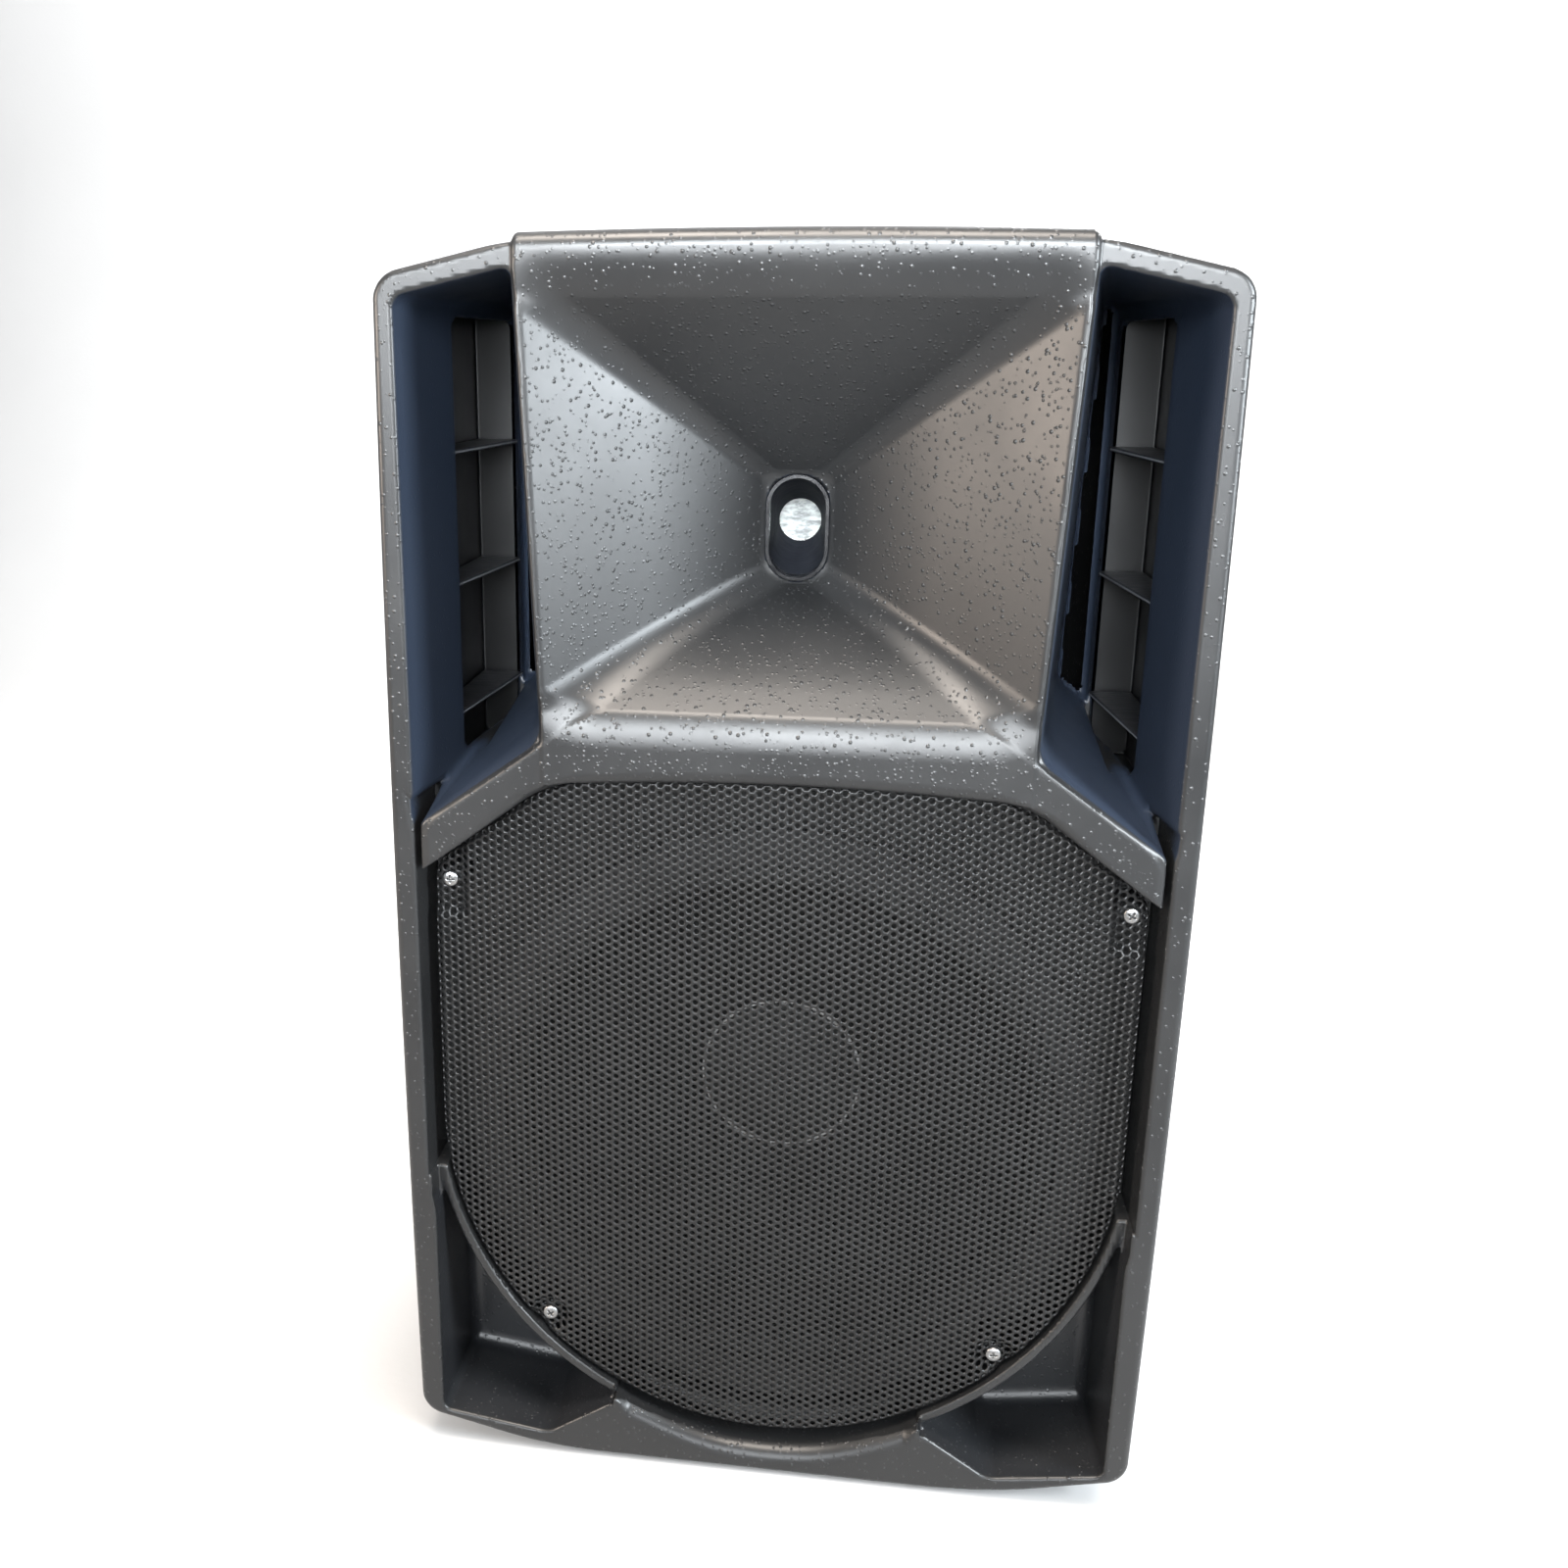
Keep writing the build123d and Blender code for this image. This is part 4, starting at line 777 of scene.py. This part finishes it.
def plain_plastic(name, tone, roughness, sheen=0.5):
    """Smooth moulded plastic with a faint grain and fine scuffs."""
    n = Nodes(name)
    n.shader.inputs["Specular IOR Level"].default_value = sheen
    patches = n.noise(25, 4, 0.6)
    scuffs = n.noise(60, 5, 0.7, stretch=(1, 8, 2))
    paler = colour(*[min(1, value * 1.5 + 0.006) for value in tone])
    shade = n.mix(n.ramp(patches, 0.35, 0.7), colour(*tone), paler)
    rough = n.ramp(scuffs, 0.35, 0.7, roughness - 0.05, roughness + 0.12)
    return n.finish(shade, rough, n.bump(n.noise(1600, 2), 0.00006))


def painted_steel(name, tone, roughness, sheen=0.5):
    """Powder coat with its fine orange peel."""
    n = Nodes(name)
    n.shader.inputs["Specular IOR Level"].default_value = sheen
    peel = n.noise(1300, 3, 0.55)
    patches = n.noise(20, 4, 0.6)
    shade = n.mix(patches, colour(*tone), colour(*[value * 1.6 + 0.004 for value in tone]))
    rough = n.ramp(patches, 0.3, 0.7, roughness - 0.06, roughness + 0.06)
    return n.finish(shade, rough, n.bump(peel, 0.00003))


def bare_metal(name, tone, roughness, stretch=(1, 1, 14)):
    """Plated or bare metal with faint brushing and dull spots."""
    n = Nodes(name, metallic=1.0)
    brushed = n.noise(160, 5, 0.7, stretch=stretch)
    spots = n.noise(90, 3, 0.6)
    shade = n.mix(n.ramp(spots, 0.35, 0.7), colour(*tone), colour(*[value * 0.72 for value in tone]))
    rough = n.ramp(brushed, 0.3, 0.7, roughness - 0.08, roughness + 0.14)
    return n.finish(shade, rough, n.bump(brushed, 0.00004))


def fibrous(name, tone, roughness, scale):
    """Pulp, felt or cloth with matted fibres."""
    n = Nodes(name, roughness=roughness)
    fibres = n.noise(scale, 6, 0.75, stretch=(1, 1, 3))
    clumps = n.noise(scale / 8, 3, 0.5)
    shade = n.mix(n.ramp(fibres, 0.3, 0.7), colour(*[value * 0.6 for value in tone]), colour(*tone))
    both = n.maths("ADD", n.maths("MULTIPLY", fibres, 0.7), n.maths("MULTIPLY", clumps, 0.3))
    return n.finish(shade, None, n.bump(both, 0.0005))


def foil_screen():
    """Pale mesh disc in the driver's exit, slightly creased."""
    n = Nodes("pale_screen", roughness=0.35)
    creases = n.noise(150, 4, 0.6, stretch=(1, 1, 2.5))
    weave = n.add("ShaderNodeTexWave", wave_type="BANDS", bands_direction="DIAGONAL")
    n.feed(weave, {"Vector": n.place, "Scale": 900.0, "Distortion": 0.5})
    # The colour darkens along the creases: painted shade in the creases
    shade = n.mix(n.ramp(creases, 0.38, 0.6), colour(0.20, 0.21, 0.21), colour(0.50, 0.53, 0.52))
    height = n.maths("ADD", n.maths("MULTIPLY", creases, 0.8), n.maths("MULTIPLY", weave.outputs["Fac"], 0.2))
    return n.finish(shade, None, n.bump(height, 0.0006))


def circuit_green():
    n = Nodes("board_green", roughness=0.35)
    tracks = n.add("ShaderNodeTexBrick")
    n.feed(tracks, {"Vector": n.place, "Scale": 90.0, "Color1": colour(0.02, 0.16, 0.07),
                    "Color2": colour(0.015, 0.11, 0.05), "Mortar": colour(0.05, 0.26, 0.13)})
    return n.finish(tracks.outputs["Color"], None, n.bump(n.noise(500, 2), 0.0001))


def lit_lens():
    n = Nodes("green_lens", roughness=0.15)
    cloud = n.noise(300, 2)
    n.shader.inputs["Transmission Weight"].default_value = 0.5
    return n.finish(n.mix(cloud, colour(0.10, 0.55, 0.16), colour(0.25, 0.80, 0.32)), None, None)


GRAINED = moulded_plastic("grained_polypropylene")
GLOSS = plain_plastic("gloss_black", (0.012, 0.012, 0.014), 0.14)
THROAT_GLOSS = plain_plastic("throat_gloss", (0.006, 0.006, 0.007), 0.20)
SATIN = plain_plastic("satin_black", (0.022, 0.022, 0.024), 0.42)
RIB_PLASTIC = plain_plastic("rib_plastic", (0.006, 0.0065, 0.008), 0.40)
# Pale plastic for the ribs' front edges: its colour is a painted highlight
PAINTED_HIGHLIGHT_EDGE = plain_plastic("painted_highlight_rib_edge", (0.13, 0.135, 0.145), 0.32)
# Near-black plastic with little specular: painted shade deep in the throat, on the slot's walls and the
# throat adaptor
PAINTED_SHADE_INSIDE = plain_plastic("painted_shade_inside", (0.004, 0.005, 0.008), 0.75, 0.15)
SEAL = plain_plastic("soft_seal", (0.016, 0.016, 0.016), 0.75)
POWDER = painted_steel("black_powder_coat", (0.005, 0.005, 0.0052), 0.30, 0.32)
ENAMEL = painted_steel("black_enamel", (0.015, 0.015, 0.016), 0.45)
PANEL = painted_steel("panel_powder_coat", (0.022, 0.023, 0.025), 0.50)
ZINC = bare_metal("bright_zinc", (0.72, 0.71, 0.69), 0.24)
SCREW_STEEL = bare_metal("screw_steel", (0.34, 0.34, 0.34), 0.30)
DARK_ZINC = bare_metal("black_zinc", (0.10, 0.10, 0.105), 0.35)
CAST = bare_metal("cast_alloy", (0.30, 0.30, 0.31), 0.45, (1, 1, 1))
ANODISED = bare_metal("black_anodised", (0.045, 0.045, 0.05), 0.38, (14, 1, 1))
COIL = bare_metal("coil_aluminium", (0.75, 0.75, 0.77), 0.30)
FERRITE = fibrous("ferrite", (0.10, 0.10, 0.105), 0.7, 700)
# The cone's pulp and the surround's cloth are black, set darker still as painted shade behind the grille
PULP = fibrous("cone_pulp", (0.009, 0.009, 0.009), 0.85, 420)
CAP_PULP = fibrous("cap_pulp", (0.024, 0.024, 0.024), 0.8, 420)
CLOTH = fibrous("treated_cloth", (0.016, 0.016, 0.016), 0.6, 900)
WADDING = fibrous("wadding", (0.5, 0.5, 0.48), 0.95, 260)
WINDING = fibrous("varnished_winding", (0.45, 0.20, 0.08), 0.4, 600)
JACKET = plain_plastic("lead_jacket", (0.02, 0.02, 0.022), 0.5)

NODE_MATERIALS = {
    "throat_ring": THROAT_GLOSS, "throat_adaptor": PAINTED_SHADE_INSIDE, "driver_screen": foil_screen(),
    "driver_phase_plug": CAST,
    "shell_gasket": SEAL, "woofer_gasket": SEAL, "driver_gasket": SEAL, "rubber_feet": SEAL,
    "woofer_basket": ENAMEL, "woofer_cone": PULP, "woofer_dust_cap": CAP_PULP, "woofer_surround": CLOTH,
    "woofer_spider": CLOTH, "woofer_voice_coil": COIL, "driver_diaphragm": COIL, "woofer_magnet": FERRITE,
    "driver_magnet": FERRITE, "woofer_top_plate": ZINC, "woofer_pole_piece": ZINC, "driver_front_plate": ZINC,
    "driver_pole_piece": ZINC, "driver_back_plate": ZINC, "driver_cover": SATIN, "woofer_terminals": SATIN,
    "horn_screws": ZINC, "shell_screws": DARK_ZINC, "woofer_screws": DARK_ZINC, "panel_screws": DARK_ZINC,
    "handle_screws": DARK_ZINC, "base_screws": DARK_ZINC, "rigging_inserts": ZINC, "pole_socket": SATIN,
    "top_handle": SATIN, "side_handle_left": SATIN, "side_handle_right": SATIN, "amplifier_panel": PANEL,
    "heat_sink": ANODISED, "circuit_board": circuit_green(), "power_transformer": WINDING,
    "mains_inlet": SATIN, "fuse_drawer": SATIN, "power_switch_frame": SATIN, "power_switch_rocker": GLOSS,
    "input_socket_1": SATIN, "input_socket_2": SATIN, "link_socket": SATIN, "socket_latch_1": ZINC,
    "socket_latch_2": ZINC, "level_knob_1": SATIN, "level_knob_2": SATIN, "voicing_button": SATIN,
    "control_backs": SATIN, "status_lens": lit_lens(), "woofer_lead": JACKET, "driver_lead": JACKET,
    "damping_foam": WADDING, "front_shell": GRAINED, "rear_shell": GRAINED, "grille": POWDER,
    "grille_screws": ZINC,
}


def paint_nodes():
    for node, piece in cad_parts.items():
        piece.data.materials.clear()
        piece.data.materials.append(NODE_MATERIALS[node])


# Grille

def grille_outline(x, z):
    """Distance to the grille's edge in its front view, with soft corners."""
    x = np.abs(x)
    upper = common(beyond(x, z, *GRILLE_TOP), z - grille_top(x), 8)
    upper = common(upper, x - GRILLE_R, 8)
    lower = np.where(z < GRILLE_Z, ring_radius(x, z) - GRILLE_R, -1e3)
    return np.maximum(upper, lower)


def screw_dimple(x, z):
    """How far the sheet is pressed back round its screws."""
    x = np.abs(x)
    (upper_x, upper_z), (lower_x, lower_z) = SCREW_PLACES
    corner = step(x, upper_x - 11, upper_x - 7.5) * step(z, upper_z - 24, upper_z - 18)
    cup = 1 - step(np.hypot(x - lower_x, z - lower_z), 9, 13)
    return DIMPLE_DEPTH * np.maximum(corner, cup)


def bend_sheet(x, z, thickness):
    """Takes points of the flat sheet to the bent one, folded back at its edge."""
    small = 0.05
    gap = grille_outline(x, z)
    out_x = (grille_outline(x + small, z) - grille_outline(x - small, z)) / (2 * small)
    out_z = (grille_outline(x, z + small) - grille_outline(x, z - small)) / (2 * small)
    radius = GRILLE_FOLD_R - thickness
    run = np.maximum(gap + GRILLE_FOLD_R, 0)
    angle = np.minimum(run / GRILLE_FOLD_R, math.pi / 2)
    extra = np.maximum(run - GRILLE_FOLD_R * math.pi / 2, 0)
    move = radius * np.sin(angle) - run
    depth = grille_depth(x) + screw_dimple(x, z) + GRILLE_FOLD_R - radius * np.cos(angle) + extra
    return np.stack([x + move * out_x, depth, z + move * out_z], 1)


def hole_centres():
    """Middles of the holes: upright columns, each half a pitch off its neighbour."""
    columns = np.arange(HOLE_COLUMNS)
    rows = np.arange(*HOLE_ROWS)
    column, row = np.meshgrid(columns, rows, indexing="ij")
    x = column * HOLE_PITCH * math.sqrt(3) / 2
    z = FIRST_ROW_Z + (row + 0.5 * (column % 2)) * HOLE_PITCH
    kept = grille_outline(x, z) < GRILLE_FOLD
    x, z = x[kept], z[kept]
    right = x > 0
    return np.concatenate([x, -x[right]]), np.concatenate([z, z[right]])


def round_points(x, z, radius, sides):
    """Corners of a polygon round each centre."""
    turn = np.arange(sides) * 2 * math.pi / sides
    ring = [x[:, None] + radius * np.cos(turn), z[:, None] + radius * np.sin(turn)]
    return np.stack(ring, 2).reshape(-1, 2)


def grille_half(centres):
    """Sheet of six-sided cells, each with a round hole and the hole's wall."""
    x, z = centres
    corners = round_points(x, z, HOLE_PITCH / math.sqrt(3), 6)
    rim = round_points(x, z, HOLE_R, HOLE_SIDES)
    cells = np.arange(len(x))
    front = np.concatenate([corners, rim])
    points = bend_sheet(front[:, 0], front[:, 1], 0)
    back = bend_sheet(*rim.T, GRILLE_SHEET)
    rim_start = len(corners)
    faces = []
    for k in range(6):
        corner = cells * 6 + k
        following = cells * 6 + (k + 1) % 6
        holes = [rim_start + cells * HOLE_SIDES + (2 * k + turn) % HOLE_SIDES for turn in (2, 1, 0)]
        faces += [tuple(f) for f in np.stack([corner, following, *holes], 1)]
    for k in range(HOLE_SIDES):
        here = rim_start + cells * HOLE_SIDES + k
        there = rim_start + cells * HOLE_SIDES + (k + 1) % HOLE_SIDES
        faces += [tuple(f) for f in np.stack([here, there, there + len(rim), here + len(rim)], 1)]
    return np.concatenate([points, back]), faces


def build_grille():
    x, z = hole_centres()
    for side, kept in (("left", x < 0), ("right", x >= 0)):
        points, faces = grille_half((x[kept], z[kept]))
        piece = make_object(f"grille_sheet_{side}", to_metres(points), faces, POWDER)
        tidy = bmesh.new()
        tidy.from_mesh(piece.data)
        bmesh.ops.remove_doubles(tidy, verts=tidy.verts, dist=1e-5)
        tidy.to_mesh(piece.data)
        tidy.free()
        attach(piece, "cabinet")
        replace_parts(piece, "grille")


# Ribs of the ports

def build_ribs():
    """Flat ribs across each port, following the slanted outer wall."""
    depths = np.linspace(PORT_DEPTHS[0] - 3, PORT_DEPTHS[1] + 3, 9)
    inner = [(flat_wall_x(d) + 0.6, d) for d in depths]
    outer = [(HALF_WIDTH - 6, d) for d in depths[::-1]]
    for side in (-1, 1):
        build = bmesh.new()
        for height in RIB_HEIGHTS:
            base_z = (height - RIB_THICK / 2) / 1000 + BASE_Z
            corners = [(side * x / 1000, d / 1000 + RIM_Y, base_z) for x, d in inner + outer]
            face = build.faces.new([build.verts.new(corner) for corner in corners])
            raised = bmesh.ops.extrude_face_region(build, geom=[face])["geom"]
            moved = [v for v in raised if isinstance(v, bmesh.types.BMVert)]
            bmesh.ops.translate(build, verts=moved, vec=(0, 0, RIB_THICK / 1000))
        bmesh.ops.recalc_face_normals(build, faces=build.faces)
        for face in build.faces:
            # Faces turned towards the channel get the pale material, a painted highlight along the ribs'
            # front edges
            face.material_index = int(face.normal.x * side < -0.3 and abs(face.normal.z) < 0.3)
        long_edges = [e for e in build.edges if e.calc_face_angle(0) > 0.6]
        bmesh.ops.bevel(build, geom=long_edges, offset=0.0009, segments=3, profile=0.5, affect="EDGES")
        name = "port_ribs_right" if side > 0 else "port_ribs_left"
        mesh = bpy.data.meshes.new(name)
        build.to_mesh(mesh)
        build.free()
        mesh.materials.append(RIB_PLASTIC)
        mesh.materials.append(PAINTED_HIGHLIGHT_EDGE)
        piece = add_object(name, mesh)
        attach(piece, "cabinet")


# Screws. The head's shape is given in shares of its radius and height.

RIM_SHARE = 0.45
CROSS_DEPTH = 0.75
ARM_HALF = 0.06
ARM_SLOPE = 0.07
ARM_LENGTH = 0.38
ARM_END = 0.14


def fade(value, start, run):
    """1 up to start, falling to 0 over the run."""
    return max(0.0, 1 - max(0.0, value - start) / run)


def screw_head_mesh(radius, height, sides=56, rings=16):
    """Domed head with a cross recess. It points along +Z and its underside is at z = 0."""
    points, faces = [(0.0, 0.0, 0.0)], []
    for ring in range(1, rings + 1):
        reach = radius * ring / rings
        for turn in range(sides):
            angle = 2 * math.pi * turn / sides
            points.append((reach * math.cos(angle), reach * math.sin(angle), 0.0))
    shaped = []
    for x, y, z in points:
        reach = math.hypot(x, y) / radius
        dome = height * (RIM_SHARE + (1 - RIM_SHARE) * math.sqrt(max(0.0, 1 - reach ** 2)))
        arm = min(abs(x), abs(y)) / radius
        along = max(abs(x), abs(y)) / radius
        cross = fade(arm, ARM_HALF, ARM_SLOPE) * fade(along, ARM_LENGTH, ARM_END)
        shaped.append((x, y, dome - height * CROSS_DEPTH * min(1.0, cross)))
    for turn in range(sides):
        faces.append((0, 1 + turn, 1 + (turn + 1) % sides))
    for ring in range(1, rings):
        start = 1 + (ring - 1) * sides
        for turn in range(sides):
            following = (turn + 1) % sides
            faces.append((start + turn, start + sides + turn, start + sides + following, start + following))
    first = len(shaped)
    rim = 1 + (rings - 1) * sides
    shaped += [(x, y, 0.0) for x, y, z in shaped[rim:rim + sides]]
    for turn in range(sides):
        following = (turn + 1) % sides
        faces.append((rim + turn, first + turn, first + following, rim + following))
    return np.array(shaped), faces


def heads_piece(name, places, material):
    """One mesh of screw heads. Each place is (point, direction, radius, height), in metres."""
    points, faces = [], []
    for centre, direction, radius, height in places:
        head, head_faces = screw_head_mesh(radius, height)
        spin = Matrix.Rotation(0.4 * len(points), 3, "Z").to_quaternion()
        turn = Vector(direction).to_track_quat("Z", "Y") @ spin
        first = len(points)
        points += [tuple(Vector(centre) + turn @ Vector(p)) for p in head]
        faces += [tuple(first + i for i in face) for face in head_faces]
    piece = make_object(name, points, faces, material)
    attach(piece, "cabinet")
    return piece


def build_grille_screws():
    places = []
    for x, z in SCREW_PLACES:
        for side in (-1, 1):
            depth = float(grille_depth(x) + screw_dimple(np.array(float(x)), np.array(float(z)))) - 0.2
            centre = (side * x / 1000, depth / 1000 + RIM_Y, z / 1000 + BASE_Z)
            places.append((centre, (-side * x / GRILLE_BEND_R, -1, 0), *GRILLE_SCREW_HEAD))
    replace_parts(heads_piece("grille_screw_heads", places, SCREW_STEEL), "grille_screws")


# Stage, light and camera. The camera turns by yaw, pitch and roll in degrees.

CAMERA_PLACE = (0.0327, -0.9255, 0.6745)
CAMERA_TURN = (-7.87, -15.26, 0.26)
CAMERA_LENS = 32.53
CAMERA_SHIFT = (0.0814, -0.028)


def build_stage():
    """Pale floor that rises behind the cabinet in one soft sweep."""
    start_y, sweep_r, parts = 1.6, 1.4, 8
    profile = [(-5.0, 0.0), (start_y, 0.0)]
    for part in range(1, parts + 1):
        angle = part * math.pi / (2 * parts)
        profile.append((start_y + sweep_r * math.sin(angle), sweep_r - sweep_r * math.cos(angle)))
    profile.append((3.0, 5.0))
    points = [(side * 6.0, y, z) for y, z in profile for side in (-1, 1)]
    faces = [(2 * k, 2 * k + 1, 2 * k + 3, 2 * k + 2) for k in range(len(profile) - 1)]
    n = Nodes("pale_floor", roughness=0.8)
    tone = n.mix(n.noise(3, 3), colour(0.44, 0.44, 0.44), colour(0.47, 0.47, 0.47))
    floor = make_object("floor", points, faces, n.finish(tone, None, n.bump(n.noise(120, 3), 0.0002)))
    world = bpy.data.worlds.new("studio")
    bpy.context.scene.world = world
    world.use_nodes = True
    background = world.node_tree.nodes["Background"]
    background.inputs["Color"].default_value = (0.90, 0.94, 1.0, 1)
    background.inputs["Strength"].default_value = 0.08


def area_light(name, place, target, size, power, tint, spread=180):
    """Rectangular light that points at the target. The spread is in degrees."""
    light = bpy.data.lights.new(name, "AREA")
    light.shape = "RECTANGLE"
    light.size, light.size_y = size
    light.energy = power
    light.color = tint
    light.spread = math.radians(spread)
    lamp = add_object(name, light)
    lamp.location = place
    lamp.rotation_euler = (Vector(target) - Vector(place)).to_track_quat("-Z", "Y").to_euler()


def build_lights():
    area_light("key", (1.5, -0.74, 0.95), (-0.12, -0.18, 0.60), (0.5, 0.8), 68, (0.88, 0.95, 1.0))
    area_light("room", (0.0, -2.2, 1.0), (0, 0, 0.85), (3.0, 0.7), 32, (0.92, 0.96, 1.0), 80)
    area_light("high", (0.0, -1.6, 1.25), (0, -0.1, 0.78), (1.8, 0.35), 12, (0.92, 0.97, 1.0), 50)
    area_light("top", (-0.1, -0.5, 1.9), (0, -0.15, 0.5), (1.0, 0.45), 46, (1.0, 0.91, 0.82))
    area_light("warm_fill", (-1.5, -0.75, 0.8), (0.1, -0.15, 0.57), (0.5, 0.7), 24, (1.0, 0.86, 0.74))
    area_light("sweep", (0.0, 1.1, 2.6), (0, 3.0, 0.9), (4.5, 1.0), 190, (1.0, 1.0, 1.0))
    area_light("behind", (0.9, 1.6, 1.8), (0, 0.2, 0.4), (1.2, 0.8), 26, (1.0, 1.0, 1.0), 110)


def build_camera():
    """Close, above the middle, looking down at the front, with the lens shifted to one side."""
    data = bpy.data.cameras.new("camera")
    data.sensor_width = 36
    data.lens = CAMERA_LENS
    data.shift_x, data.shift_y = CAMERA_SHIFT
    data.clip_start = 0.02
    camera = add_object("camera", data)
    yaw, pitch, roll = (math.radians(angle) for angle in CAMERA_TURN)
    level = Vector((math.sin(yaw), math.cos(yaw), 0))
    side = Vector((math.cos(yaw), -math.sin(yaw), 0))
    forward = level * math.cos(pitch) + Vector((0, 0, math.sin(pitch)))
    upward = side.cross(forward)
    right = side * math.cos(roll) + upward * math.sin(roll)
    upward = upward * math.cos(roll) - side * math.sin(roll)
    turn = Matrix((right, upward, -forward)).transposed().to_4x4()
    turn.translation = Vector(CAMERA_PLACE)
    camera.matrix_world = turn
    bpy.context.scene.camera = camera
    bpy.context.scene.view_settings.view_transform = "Standard"


# Grid of the mouldings: one pitch across and upwards, and depths that are closer where there is detail
PITCH = 2.0
FRONT_LINES = np.concatenate([np.arange(-1.5, 14, 1.1), np.arange(14.2, 60, 2.2), np.arange(61, 115, 3.2),
                              np.arange(116, 209, 5.5)])
REAR_LINES = np.concatenate([np.arange(JOINT_BACK - 3, 366, 4.5), np.arange(367, CABINET_DEPTH + 3, 1.8)])
FRONT_CUTS = (-50, 180, 450, 590, 900)
REAR_CUTS = (-50, 150, 300, 450, 600, 900)

build_camera()
build_stage()
build_lights()
paint_nodes()
build_moulding("front_moulding", "front_shell", front_moulding, FRONT_LINES, FRONT_CUTS, front_grain_and_painted_light)
build_moulding("rear_moulding", "rear_shell", rear_moulding, REAR_LINES, REAR_CUTS, rear_grain)
build_grille()
build_ribs()
build_grille_screws()
